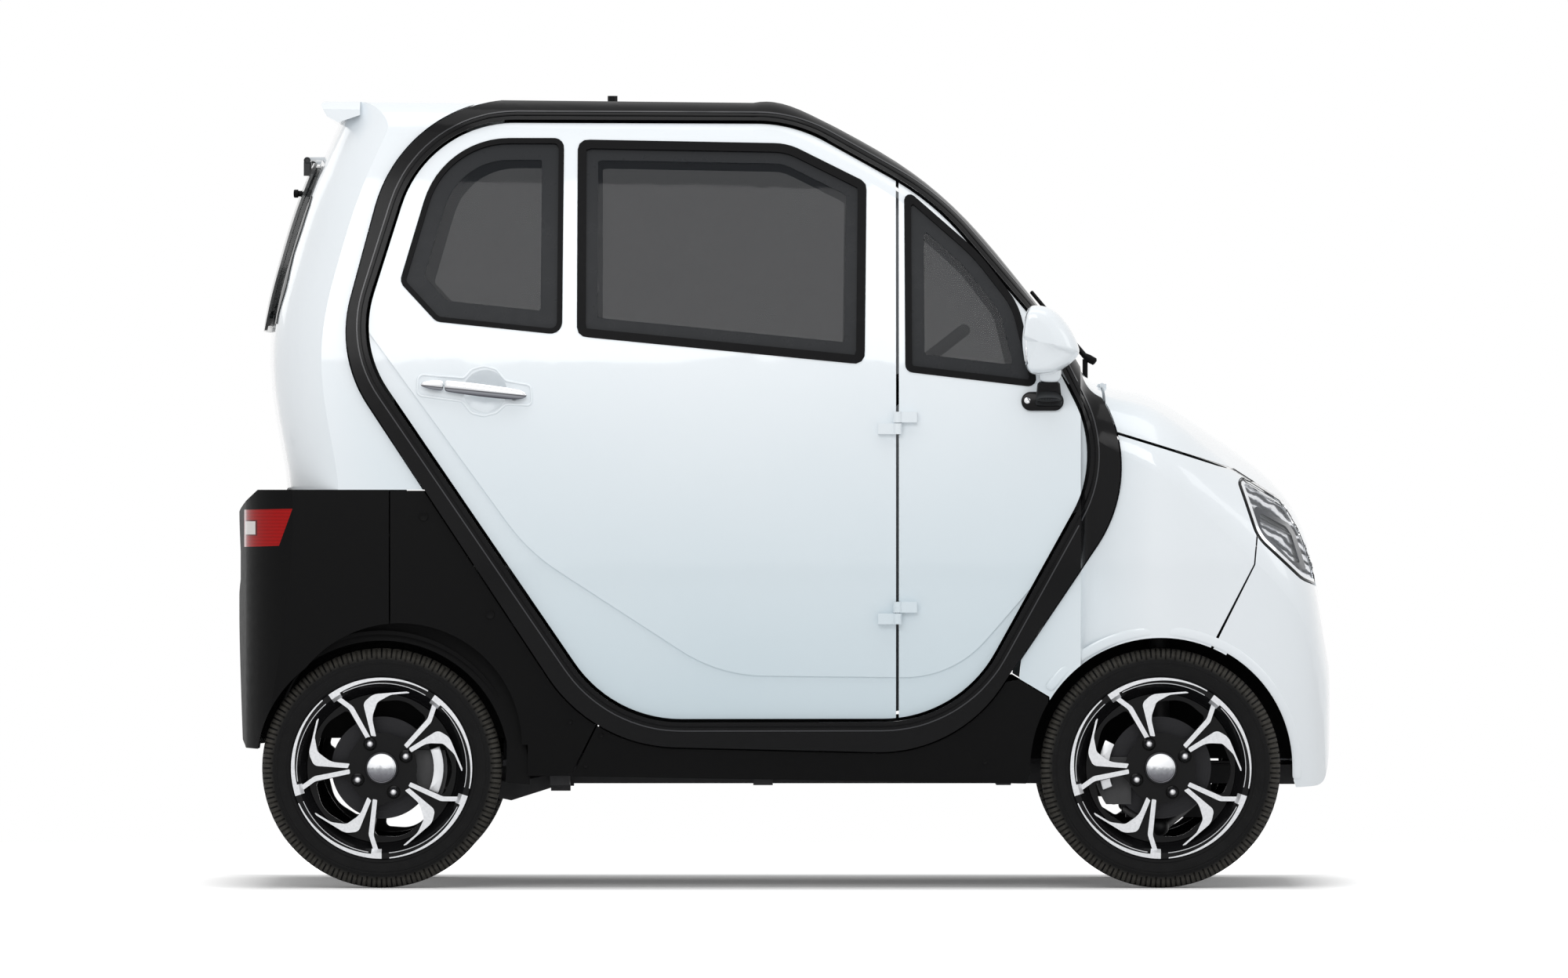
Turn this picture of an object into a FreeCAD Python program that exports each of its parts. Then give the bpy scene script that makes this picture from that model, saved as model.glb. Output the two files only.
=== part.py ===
"""Enclosed four-wheel mobility scooter, as a parametric assembly in millimetres.

+X is forward, +Y is left and +Z is up. The origin is on the ground, midway between the bumpers.
The body is one barrel-sided envelope. Every outer panel is a piece of that envelope's wall, cut
where the real panels meet, so a change of the envelope or of a seam moves all that depends on it.
"""
import FreeCAD
import Part
import math
import os

Vector = FreeCAD.Vector
os.makedirs("parts", exist_ok=True)
doc = FreeCAD.newDocument("enclosed_scooter")

# Driving dimensions: alias, value in millimetres (degrees and counts are named so), meaning.
SIZES = [
    ("front_axle_x", 777, "front axle, ahead of the middle"),
    ("wheelbase", 1600, "front axle to rear axle"),
    ("track", 950, "between tyre centres"),
    ("tyre_radius", 246, "rolling radius, 13 inch wheel"),
    ("tyre_width", 135, "section width"),
    ("rim_radius", 186, "outside of the rim's lip"),
    ("rim_well", 150, "inside of the rim's well"),
    ("rim_width", 124, "lip to lip"),
    ("rim_skin", 6, "rim barrel thickness"),
    ("disc_inset", 20, "wheel disc face, inside the outer lip"),
    ("disc_depth", 18, "wheel disc thickness"),
    ("ridge_height", 12, "bright ridges, proud of the wheel disc"),
    ("bolt_circle", 110, "wheel bolt circle diameter"),
    ("bolt_count", 4, "wheel bolts, a count"),
    ("bolt_turn", 26, "first wheel bolt, degrees above level"),
    ("bolt_radius", 10, "wheel nut radius"),
    ("spoke_count", 5, "wheel spokes, a count"),
    ("cap_radius", 33, "hub cap radius"),
    ("brake_radius", 105, "brake disc radius"),
    ("brake_thickness", 8, "brake disc thickness"),
    ("brake_inset", 18, "brake disc, inboard of the tyre centre"),
    ("front_arch_radius", 268, "front arch opening"),
    ("rear_arch_radius", 258, "rear arch opening about the axle"),
    ("rear_arch_rise", 48, "rear arch's upper circle, above the axle"),
    ("rear_arch_shift", 38, "rear arch's upper circle, ahead of the axle"),
    ("half_width", 575, "body side at its widest"),
    ("widest_height", 760, "height of the widest point"),
    ("side_radius", 2860, "barrel of the body side in section"),
    ("wall", 32, "body wall thickness"),
    ("door_thickness", 40, "door and fixed side panel thickness"),
    ("skirt_bottom", 205, "lowest edge of the nose and tail"),
    ("frame_proud", 9, "side frame moulding, proud of the panels"),
    ("frame_depth", 46, "side frame moulding, measured inwards"),
    ("door_gap", 7, "gap round the door"),
    ("panel_gap", 3, "gap between fixed panels"),
    ("hinge_x", 236, "door's front edge and hinge line"),
    ("hinge_pin_radius", 4, "door hinge pin"),
    ("hinge_length", 46, "door hinge knuckle"),
    ("hinge_offset", 11.5, "door hinge pin, outside the panel face"),
    ("upper_hinge_z", 955, "upper door hinge"),
    ("lower_hinge_z", 565, "lower door hinge"),
    ("glass", 5, "side glass thickness"),
    ("screen_glass", 6, "windscreen and rear glass thickness"),
    ("glass_inset", 6, "side glass, below the panel face"),
    ("belt_z", 818, "top of the dark lower body at the tail"),
    ("roof_half_width", 400, "roof panel's half width at the roof"),
    ("cowl_half_width", 492, "windscreen's half width at the cowl"),
    ("cowl_x", 612, "foot of the windscreen"),
    ("hood_rear_x", 664, "rear edge of the hood"),
    ("hood_gap", 6, "gap round the hood"),
    ("rear_seam_x", -806, "seam between rear bumper and rear quarter"),
    ("tail_glass_half_width", 330, "rear opening, half width"),
    ("hatch_proud", 16, "rear glass, proud of the tail"),
    ("hatch_overlap", 11, "rear glass, past the edge of its opening"),
    ("hatch_hinge_x", -984, "rear glass hinge line"),
    ("hatch_hinge_z", 1500, "rear glass hinge line"),
    ("hatch_hinge_spread", 220, "rear glass hinge, from the middle"),
    ("hatch_hinge_length", 44, "rear glass hinge"),
    ("hatch_pin_radius", 3.5, "rear glass hinge pin"),
    ("spoiler_half", 430, "half width of the lip above the rear glass"),
    ("door_border_depth", 4, "door's lower border, below its raised field"),
    ("grille_half", 230, "half width of the grille slots"),
    ("grille_slot", 14, "height of a grille slot"),
    ("grille_pitch", 25, "grille slot to grille slot"),
    ("grille_count", 5, "grille slots, a count"),
    ("grille_low", 590, "lowest grille slot"),
    ("grille_depth", 12, "depth of a grille slot"),
    ("intake_half", 250, "half width of the lower air intake"),
    ("intake_low", 345, "lower air intake, bottom edge"),
    ("intake_high", 430, "lower air intake, top edge"),
    ("floor_z", 262, "top of the floor pan"),
    ("floor_thickness", 12, "floor pan"),
    ("rail_height", 40, "chassis rail"),
    ("rail_width", 50, "chassis rail"),
    ("rail_spread", 215, "chassis rail centre, from the middle"),
    ("rail_wall", 3, "chassis tube wall"),
    ("liner_radius", 300, "front wheel housing radius"),
    ("rear_liner_radius", 275, "rear wheel housing radius"),
    ("liner_wall", 8, "wheel housing thickness"),
    ("front_liner_inner", 268, "front wheel housing's inner wall"),
    ("rear_liner_inner", 392, "rear wheel housing's inner wall"),
    ("firewall_x", 470, "firewall, lower part"),
    ("seat_width", 430, "driver's seat width"),
    ("seat_height", 600, "driver's cushion top"),
    ("cushion_depth", 90, "cushion thickness"),
    ("bench_width", 760, "rear bench width"),
    ("bench_height", 660, "rear cushion top"),
    ("helm_radius", 172, "steering wheel rim"),
    ("helm_grip", 13, "steering wheel rim section"),
    ("helm_x", 261, "steering wheel hub"),
    ("helm_z", 1021, "steering wheel hub"),
    ("helm_tilt", 38, "steering column, degrees from vertical"),
    ("kingpin_foot_y", 425, "lower ball joint"),
    ("kingpin_foot_z", 125, "lower ball joint"),
    ("kingpin_head_y", 320, "strut top"),
    ("kingpin_head_z", 640, "strut top"),
    ("strut_radius", 21, "front strut"),
    ("steer_arm", 90, "steering arm length"),
    ("rack_z", 185, "steering rack height"),
    ("axle_radius", 30, "rear axle tube"),
    ("motor_radius", 92, "drive motor on the rear axle"),
    ("motor_length", 230, "drive motor on the rear axle"),
    ("arm_pivot_x", -493, "trailing arm's front pivot"),
    ("arm_pivot_z", 216, "trailing arm's front pivot"),
    ("handle_rear_x", -740, "door handle, rear end"),
    ("handle_rear_z", 1038, "door handle, rear end"),
    ("handle_front_x", -528, "door handle, front end"),
    ("handle_front_z", 1005, "door handle, front end"),
    ("handle_radius", 10, "door handle bar"),
    ("tail_lamp_inner", 395, "tail lamp's inner edge, from the middle"),
    ("lamp_inner", 300, "headlamp's inner edge, from the middle"),
    ("bulkhead_x", 640, "bulkhead between cabin and nose"),
    ("floor_rear_x", -575, "rear end of the flat floor"),
    ("seat_x", -130, "middle of the driver's seat"),
    ("battery_length", 340, "battery block under the seat"),
    ("battery_width", 360, "battery block under the seat"),
    ("battery_height", 200, "battery block under the seat"),
    ("tie_down_radius", 7, "tie-down holes in the front crossmember"),
    ("tie_down_spacing", 580, "tie-down holes, centre to centre"),
    ("tie_down_x", 1045, "tie-down holes and front crossmember"),
    ("tie_down_beam", 40, "front crossmember, fore and aft"),
    ("turn_radius", 289, "room that a steered wheel needs about its pin"),
    ("turn_wall", 12, "front bumper's least wall beside a steered wheel"),
    ("turn_lip", 8, "extra radius inside the front bumper's arch lip"),
    ("turn_lip_y", 535, "side where the full arch lip begins"),
    ("rod_end_y", 380, "tie rod end, from the middle"),
    ("hood_hinge_x", 661, "hood hinge line"),
    ("hood_hinge_z", 1034, "hood hinge line"),
    ("hood_hinge_spread", 250, "hood hinge, from the middle"),
    ("hood_hinge_length", 40, "hood hinge"),
    ("hood_pin_radius", 2.5, "hood hinge pin"),
    ("plate_hole_radius", 3.3, "number plate holes"),
    ("plate_hole_spacing", 170, "number plate holes, centre to centre"),
    ("plate_hole_z", 560, "number plate holes"),
    ("hub_radius", 72, "raised middle of the wheel disc"),
    ("wiper_x", 630, "wiper pivot"),
    ("wiper_y", -40, "wiper pivot"),
    ("wiper_post", 12, "wiper pivot's radius"),
    ("stern_x", -1130, "rearmost point of the dark lower rear"),
    ("roof_rear_x", -576, "seam between roof panel and rear body"),
    ("screen_top_x", 92, "top edge of the windscreen"),
    ("knob_radius", 10.5, "round knob on the roof"),
    ("knob_x", -354, "round knob on the roof"),
    ("hatch_low_z", 1158, "rear glass, lower edge"),
    ("hatch_top_z", 1484, "rear glass, upper edge"),
    ("cup_radius", 62, "hand cup behind the door handle"),
    ("cup_depth", 26, "hand cup behind the door handle"),
    ("cup_x", -610, "hand cup behind the door handle"),
    ("cup_z", 1024, "hand cup behind the door handle"),
]
sheet = doc.addObject("Spreadsheet::Sheet", "sizes")
for row, (alias, value, meaning) in enumerate(SIZES, 1):
    sheet.set("A%d" % row, meaning)
    sheet.set("B%d" % row, str(value))
    sheet.setAlias("B%d" % row, alias)
doc.recompute()


def mm(alias):
    """A driving dimension, read from the sheet."""
    return float(sheet.get(alias))


# The roof line and the nose, section by section.
# Columns: x, height of the crown, side pulled in by, shoulder radius, crown radius.
CABIN = [
    (-1170, 1628, 0, 90, 9000),
    (-615, 1624, 0, 90, 9000),
    (-60, 1618, 0, 90, 9000),
    (60, 1592, 0, 90, 9000),
    (160, 1540, 0, 90, 8500),
    (270, 1472, 0, 90, 8000),
    (373, 1384, 0, 90, 7500),
    (470, 1274, 0, 92, 7000),
    (545, 1180, 0, 98, 6500),
    (612, 1085, 0, 110, 6000),
]
# Columns: x, height of the crown, lowest edge, side pulled in by, shoulder radius, crown radius.
NOSE = [
    (612, 1085, 0, 0, 110, 6000),
    (740, 1020, 0, 4, 130, 4000),
    (860, 957, 0, 16, 145, 2500),
    (960, 886, 0, 34, 155, 1800),
    (1040, 812, 0, 56, 155, 1400),
    (1086, 728, 2, 92, 140, 1100),
    (1113, 610, 10, 140, 110, 900),
    (1130, 500, 95, 222, 70, 900),
]
# Rear face of the white tail. Columns: height, x of the rear face.
TAIL = [(700, -1052), (1000, -1060), (1158, -1062), (1300, -1029), (1484, -966), (1570, -927), (1760, -905)]

# Side-view outlines. Columns: x, z, corner radius.
FRAME_OUTER = [
    (-776, 1623, 300), (-916, 1094, 270), (-388, 293, 320), (356, 275, 300),
    (745, 853, 290), (555, 1183, 200), (319, 1463, 600), (6, 1623, 330),
]
FRAME_INNER = [
    (-734, 1581, 250), (-879, 1114, 235), (-351, 340, 270), (365, 341, 270),
    (665, 884, 250), (520, 1172, 150), (312, 1417, 550), (24, 1578, 300),
]
DOOR_REAR_WINDOW = [(-697, 1540, 180), (-784, 1245, 20), (-710, 1165, 20), (-454, 1138, 22), (-451, 1540, 18)]
DOOR_MAIN_WINDOW = [(-419, 1537, 18), (11, 1529, 120), (171, 1449, 18), (167, 1077, 18), (-420, 1135, 18)]
QUARTER_WINDOW = [(252, 1436, 10), (400, 1306, 400), (482, 1200, 150), (523, 1030, 14), (254, 1062, 14)]
DOOR_FIELD = [(-870, 1170, 30), (-520, 690, 400), (-130, 437, 320), (350, 432, 220), (760, 905, 60), (760, 1700, 30),
              (-870, 1700, 30)]
HEADLAMP = [(930, 858, 12), (1085, 765, 60), (1155, 600, 10), (1068, 634, 60), (975, 720, 90)]


def arc(a, b, c):
    """Circular edge from a through b to c."""
    return Part.Arc(a, b, c).toShape()


def line(a, b):
    return Part.LineSegment(a, b).toShape()


def rounded_wire(corners, grow=0.0):
    """Closed side-view wire: straight runs joined by a tangent arc at each corner (x, z, radius)."""
    points = [Vector(x, 0, z) for x, z, radius in corners]
    count = len(points)
    pieces = []
    for i, (x, z, radius) in enumerate(corners):
        back = (points[i - 1] - points[i]).normalize()
        ahead = (points[(i + 1) % count] - points[i]).normalize()
        half = back.getAngle(ahead) / 2
        reach = radius / math.tan(half)
        middle = points[i] + (back + ahead).normalize() * (radius / math.sin(half) - radius)
        pieces.append((points[i] + back * reach, middle, points[i] + ahead * reach))
    edges = []
    for i, (start, middle, end) in enumerate(pieces):
        edges.append(arc(start, middle, end))
        following = pieces[(i + 1) % count][0]
        if (following - end).Length > 0.01:
            edges.append(line(end, following))
    wire = Part.Wire(edges)
    return wire.makeOffset2D(grow) if grow else wire


def slab(wire, near, far):
    """A side-view wire filled and stretched from y = near to y = far."""
    face = Part.Face(wire)
    face.translate(Vector(0, near, 0))
    return face.extrude(Vector(0, far - near, 0))


def polygon_slab(points, near, far):
    """A straight-edged side-view outline, stretched from y = near to y = far."""
    corners = [Vector(x, near, z) for x, z in points]
    face = Part.Face(Part.makePolygon(corners + corners[:1]))
    return face.extrude(Vector(0, far - near, 0))


def box(x0, x1, y0, y1, z0, z1):
    return Part.makeBox(x1 - x0, y1 - y0, z1 - z0, Vector(x0, y0, z0))


def side_y(z, inset=0.0, pull=0.0):
    """Half width of the barrel side at a height."""
    centre = mm("half_width") - mm("side_radius") - pull
    return centre + math.sqrt((mm("side_radius") - inset) ** 2 - (z - mm("widest_height")) ** 2)


def section(x, top, bottom, pull, shoulder, crown, inset):
    """Closed cross-section: floor line, barrel sides, tangent shoulders and a crown, all arcs."""
    side_radius = mm("side_radius") - inset
    side_centre = Vector(x, mm("half_width") - mm("side_radius") - pull, mm("widest_height"))
    crown_radius = crown - inset
    crown_centre = Vector(x, 0, top - crown)
    radius = shoulder - inset
    # The shoulder's centre is where circles about the two other centres cross.
    d1 = side_radius - radius
    d2 = crown_radius - radius
    apart = (crown_centre - side_centre)
    span = apart.Length
    along = (d1 * d1 - d2 * d2 + span * span) / (2 * span)
    across = math.sqrt(d1 * d1 - along * along)
    unit = apart.normalize()
    normal = Vector(0, -unit.z, unit.y)
    if normal.z < 0:
        normal = normal * -1
    centre = side_centre + unit * along + normal * across
    low = Vector(x, side_y(bottom, inset, pull), bottom)
    hip = side_centre + (centre - side_centre).normalize() * side_radius
    brow = crown_centre + (centre - crown_centre).normalize() * crown_radius
    apex = Vector(x, 0, top - inset)
    waist_z = (low.z + hip.z) / 2
    waist = Vector(x, side_y(waist_z, inset, pull), waist_z)
    corner = centre + (((hip - centre) + (brow - centre)).normalize() * radius)

    def other(p):
        return Vector(p.x, -p.y, p.z)

    edges = [
        line(other(low), low),
        arc(low, waist, hip),
        arc(hip, corner, brow),
        arc(brow, apex, other(brow)),
        arc(other(brow), other(corner), other(hip)),
        arc(other(hip), other(waist), other(low)),
    ]
    return Part.Wire(edges)


def loft(wires):
    return Part.makeLoft(wires, True, False)


def cabin_solid(inset):
    """The cabin's envelope, taken in by a wall thickness, or let out where inset is negative."""
    bottom = mm("skirt_bottom") - (60 if inset > 0 else 0)
    wires = [
        section(x, top, bottom, pull, shoulder, crown, inset)
        for x, top, pull, shoulder, crown in CABIN
    ]
    return loft(wires[:3]).fuse(loft(wires[2:]))


def nose_solid(inset):
    """The nose's envelope, open below where it is taken in."""
    start = NOSE[0][0]
    length = NOSE[-1][0] - start
    wires = []
    for x, top, lift, pull, shoulder, crown in NOSE:
        bottom = mm("skirt_bottom") + (-60 if inset > 0 else lift)
        place = x - inset * (x - start) / length
        wires.append(section(place, top, bottom, pull, shoulder, crown, inset))
    return loft(wires)


def tail_solid(inset):
    """Keeps what is ahead of the tail's rear face, with round rear corners in plan."""
    wires = []
    corner = 150
    bow = 18
    reach = 400
    flare = 9
    turn = math.sqrt(0.5)
    for z, rear in TAIL:
        x = rear + inset
        half = side_y(z, inset)
        flat = half - corner
        back_right = Vector(x + bow, -flat, z)
        back_left = Vector(x + bow, flat, z)
        side_left = Vector(x + bow + corner, half + flare, z)
        side_right = Vector(x + bow + corner, -half - flare, z)
        bend_left = Vector(x + bow + corner * (1 - turn), flat + (corner + flare) * turn, z)
        bend_right = Vector(bend_left.x, -bend_left.y, z)
        front_left = Vector(reach, half + 60, z)
        front_right = Vector(reach, -half - 60, z)
        wires.append(Part.Wire([
            arc(back_right, Vector(x, 0, z), back_left),
            arc(back_left, bend_left, side_left),
            line(side_left, front_left),
            line(front_left, front_right),
            line(front_right, side_right),
            arc(side_right, bend_right, back_right),
        ]))
    return loft(wires)


def stern_solid(inset):
    """Plan outline of the dark lower rear: a bowed back and round corners, stretched upwards."""
    x = mm("stern_x") + inset
    corner = 150
    bow = 24
    half = mm("half_width") - inset
    flare = 9
    turn = math.sqrt(0.5)
    low = 150
    back_right = Vector(x + bow, -(half - corner), low)
    back_left = Vector(x + bow, half - corner, low)
    side_left = Vector(x + bow + corner, half + flare, low)
    side_right = Vector(x + bow + corner, -half - flare, low)
    bend_left = Vector(x + bow + corner * (1 - turn), half - corner + (corner + flare) * turn, low)
    bend_right = Vector(bend_left.x, -bend_left.y, low)
    front_left = Vector(-300, half + 60, low)
    front_right = Vector(-300, -half - 60, low)
    wire = Part.Wire([
        arc(back_right, Vector(x, 0, low), back_left),
        arc(back_left, bend_left, side_left),
        line(side_left, front_left),
        line(front_left, front_right),
        line(front_right, side_right),
        arc(side_right, bend_right, back_right),
    ])
    return Part.Face(wire).extrude(Vector(0, 0, 700))


def core(spread=0.0):
    """The space between the two side frames above the waist, widening downwards."""
    top = mm("roof_half_width") + spread
    low = mm("cowl_half_width") + spread
    waist = low + 12
    corners = [
        Vector(-700, -waist, 800), Vector(-700, waist, 800), Vector(-700, low, 1085), Vector(-700, top, 1640),
        Vector(-700, -top, 1640), Vector(-700, -low, 1085),
    ]
    face = Part.Face(Part.makePolygon(corners + corners[:1]))
    return face.extrude(Vector(1500, 0, 0))


def mirrored(shape):
    """The left-hand copy of a right-hand shape."""
    return shape.mirror(Vector(0, 0, 0), Vector(0, 1, 0))


def both(shape):
    """A right-hand shape and its left-hand copy, as solids that don't touch."""
    return Part.makeCompound(shape.Solids + mirrored(shape).Solids)


def add(label, shape):
    """A sub-part whose shape neither a body nor a primitive gives."""
    feature = doc.addObject("Part::Feature", label)
    feature.Shape = shape
    return feature


def joined(*shapes):
    """Several shapes as one solid."""
    first = shapes[0]
    return first.fuse(list(shapes[1:])).removeSplitter() if len(shapes) > 1 else first


NEAR = -800
FAR = -150


def side_slab(wire):
    """A side-view wire stretched through the right-hand side of the body."""
    return slab(wire, NEAR, FAR)


def side_polygon(points):
    return polygon_slab(points, NEAR, FAR)


def disc_y(x, z, radius, y0, y1):
    """A round bar across the vehicle."""
    return Part.makeCylinder(radius, y1 - y0, Vector(x, y0, z), Vector(0, 1, 0))


def bar(start, end, radius):
    """A round bar between two points."""
    a = Vector(*start)
    b = Vector(*end)
    return Part.makeCylinder(radius, (b - a).Length, a, b - a)


wall = mm("wall")
door_depth = mm("door_thickness")
gap = mm("panel_gap")
front_x = mm("front_axle_x")
rear_x = front_x - mm("wheelbase")
axle_z = mm("tyre_radius")
wheel_y = mm("track") / 2
whole = box(-1300, 1300, -800, 800, 0, 1800)

# The envelopes: outer face and the inner faces at each thickness.
cabin_out = cabin_solid(0)
cabin_in = cabin_solid(wall)
nose_out = nose_solid(0)
nose_in = nose_solid(wall)
tail_out = tail_solid(0)
tail_in = tail_solid(wall)
outer = cabin_out.fuse(nose_out)
inner = cabin_in.fuse(nose_in)
frame_skin = cabin_solid(-mm("frame_proud")).fuse(nose_solid(-mm("frame_proud")))
frame_back = cabin_solid(mm("frame_depth") - mm("frame_proud")).fuse(nose_solid(mm("frame_depth") - mm("frame_proud")))
door_back = cabin_solid(door_depth).fuse(nose_solid(door_depth))
glass_face = cabin_solid(mm("glass_inset"))
glass_back = cabin_solid(mm("glass_inset") + mm("glass"))
screen_back = cabin_solid(mm("screen_glass"))

frame_outer = rounded_wire(FRAME_OUTER)
frame_outer_clear = side_slab(rounded_wire(FRAME_OUTER, gap))
frame_inner = rounded_wire(FRAME_INNER)
centre = core()
arch_front = disc_y(front_x, axle_z, mm("front_arch_radius"), NEAR, FAR)
rise = mm("rear_arch_rise")
arch_rear = disc_y(rear_x, axle_z, mm("rear_arch_radius"), NEAR, FAR).fuse([
    disc_y(rear_x + mm("rear_arch_shift"), axle_z + rise, 250, NEAR, FAR),
    box(rear_x, rear_x + mm("rear_arch_shift") + 262, NEAR, FAR, 150, axle_z + rise),
])
below_belt = box(-1300, 1300, -800, 800, 0, mm("belt_z"))

# Side frames: a rounded band round each door opening, proud of the panels.
frame_region = side_slab(frame_outer).cut(side_slab(frame_inner))
frame_one = frame_region.common(frame_skin).cut(frame_back).cut(centre)
side_frames = add("side_frames", both(frame_one))

# Roof panel between the frames, with the round knob on top.
roof_wall = cabin_out.cut(cabin_in)
roof_zone = core(-gap).common(box(mm("roof_rear_x") + gap, mm("screen_top_x"), -800, 800, 1400, 1700))
roof = roof_wall.common(roof_zone)
knob = Part.makeCylinder(mm("knob_radius"), 34, Vector(mm("knob_x"), 0, 1605))
roof_panel = add("roof_panel", roof.fuse(knob).removeSplitter())

# White rear body above the belt, open for the rear glass.
tail_wall = cabin_out.common(tail_out).cut(cabin_in.common(tail_in))
sides_taken = frame_outer_clear.fuse(mirrored(frame_outer_clear)).cut(core(-1))
rear_window = rounded_wire([
    (-mm("tail_glass_half_width"), mm("hatch_low_z"), 60), (mm("tail_glass_half_width"), mm("hatch_low_z"), 60),
    (mm("tail_glass_half_width") - 30, mm("hatch_top_z"), 80), (30 - mm("tail_glass_half_width"), mm("hatch_top_z"), 80),
])
window_tool = Part.Face(rear_window).extrude(Vector(0, 400, 0))
window_tool.rotate(Vector(0, 0, 0), Vector(0, 0, 1), 90)
window_tool.translate(Vector(-800, 0, 0))
rear_white = tail_wall.cut(below_belt).cut(box(mm("roof_rear_x"), 1300, -800, 800, 0, 1800))
rear_white = rear_white.cut(sides_taken).cut(window_tool)

# Lip above the rear glass.
spoiler_line = [(-951, 1612), (-939, 1588), (-915, 1575), (-870, 1590), (-870, 1640), (-929, 1640)]
spoiler = polygon_slab(spoiler_line, -mm("spoiler_half"), mm("spoiler_half")).common(cabin_solid(-1))

# Rear glass: a frameless lid over the opening, on a raised rim, with its own two hinges.
proud = mm("hatch_proud")
overlap = mm("hatch_overlap")


def hatch_prism(grow):
    """The rear opening's outline, grown or shrunk, stretched through the tail."""
    tool = Part.Face(rear_window.makeOffset2D(grow)).extrude(Vector(0, 400, 0))
    tool.rotate(Vector(0, 0, 0), Vector(0, 0, 1), 90)
    tool.translate(Vector(-800, 0, 0))
    return tool


lid = tail_solid(-proud).cut(tail_solid(mm("screen_glass") - proud)).common(hatch_prism(overlap))
rim_ring = tail_solid(mm("screen_glass") - proud - 1).cut(tail_solid(-0.4))
rim_ring = rim_ring.common(hatch_prism(2)).cut(hatch_prism(-14))
hatch_x = mm("hatch_hinge_x")
hatch_z = mm("hatch_hinge_z")
pin_r = mm("hatch_pin_radius")
half_length = mm("hatch_hinge_length") / 2
lid_pieces = []
tail_pieces = []
for side in (-1, 1):
    middle = side * mm("hatch_hinge_spread")
    lid_pieces.append(disc_y(hatch_x, hatch_z, 7, middle - half_length, middle - 0.5))
    lid_pieces.append(disc_y(hatch_x, hatch_z, pin_r, middle - half_length, middle + half_length))
    lid_pieces.append(box(hatch_x - 7, hatch_x + 9, middle - half_length, middle - 0.5, hatch_z - 32, hatch_z - 3))
    ear = disc_y(hatch_x, hatch_z, 7, middle + 0.5, middle + half_length)
    ear = ear.fuse(box(hatch_x, -946, middle + 0.5, middle + half_length, hatch_z, hatch_z + 7))
    tail_pieces.append(ear.cut(disc_y(hatch_x, hatch_z, pin_r + 0.08, middle - 40, middle + 40)))
rear_hatch = add("rear_hatch", joined(lid, rim_ring, *lid_pieces))
rear_body = add("rear_body", joined(rear_white, spoiler, *tail_pieces))

# Windscreen and cowl.
screen_zone = core(-gap).common(box(mm("screen_top_x") + gap, mm("cowl_x") - gap, -800, 800, 1000, 1700))
screen_shape = cabin_out.cut(screen_back).common(screen_zone)
windscreen = add("windscreen", screen_shape)
body_wall = outer.cut(inner)
cowl_zone = box(mm("cowl_x") - 40, mm("hood_rear_x") - mm("hood_gap"), -800, 800, 950, 1200)
cowl = body_wall.common(cowl_zone).cut(sides_taken)
cowl = cowl.cut(core(-gap + 1).common(box(-700, mm("cowl_x") - gap + 1, -800, 800, 1000, 1700)))
cowl = cowl.cut(Part.makeCylinder(mm("wiper_post") + 0.3, 120, Vector(mm("wiper_x"), mm("wiper_y"), 1000)))

# Doors and the fixed panels ahead of them.
door_region = rounded_wire(FRAME_INNER, -mm("door_gap"))
door_wall = outer.cut(door_back)
opening_slab = side_slab(door_region).cut(core(gap))
windows = [side_slab(rounded_wire(w)) for w in (DOOR_REAR_WINDOW, DOOR_MAIN_WINDOW, QUARTER_WINDOW)]
door_blank = door_wall.common(opening_slab)
field = side_slab(rounded_wire(DOOR_FIELD))
border_skin = outer.cut(cabin_solid(mm("door_border_depth")).fuse(nose_solid(mm("door_border_depth"))))
border_skin = border_skin.common(box(-900, 800, -800, -300, 250, 1180)).cut(field)
door_blank = door_blank.cut(border_skin)
cup = Part.makeSphere(mm("cup_radius"), Vector(mm("cup_x"), -570 - mm("cup_radius") + mm("cup_depth"), mm("cup_z")))
door_part = door_blank.common(box(-1300, mm("hinge_x") - 3, -800, 0, 0, 1800)).cut(windows[0]).cut(windows[1])
door_part = door_part.cut(cup)
front_part = door_blank.common(box(mm("hinge_x") + 3, 1300, -800, 0, 0, 1800)).cut(windows[2])
pane_zone = [side_slab(rounded_wire(w, -0.3)) for w in (DOOR_REAR_WINDOW, DOOR_MAIN_WINDOW, QUARTER_WINDOW)]
pane_wall = glass_face.cut(glass_back)
panes = [pane_wall.common(zone) for zone in pane_zone]

# Door handle bar and its socket, hinge knuckles on the door and on the fixed panel.
skin_y = -side_y(mm("cup_z"))
grip = bar((mm("handle_rear_x"), skin_y - 17, mm("handle_rear_z")),
           (mm("handle_front_x"), skin_y - 17, mm("handle_front_z")), mm("handle_radius"))
foot_rear = bar((mm("handle_rear_x") + 22, skin_y - 17, mm("handle_rear_z") - 4),
                (mm("handle_rear_x") + 22, skin_y + 6, mm("handle_rear_z") - 4), 8)
foot_front = bar((mm("handle_front_x") - 22, skin_y - 17, mm("handle_front_z") + 4),
                 (mm("handle_front_x") - 22, skin_y + 6, mm("handle_front_z") + 4), 8)
handle = joined(grip, foot_rear, foot_front)
door_part = door_part.cut(handle)
hinge_x = mm("hinge_x")
half_knuckle = mm("hinge_length") / 2
knuckles = []
sockets = []
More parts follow.
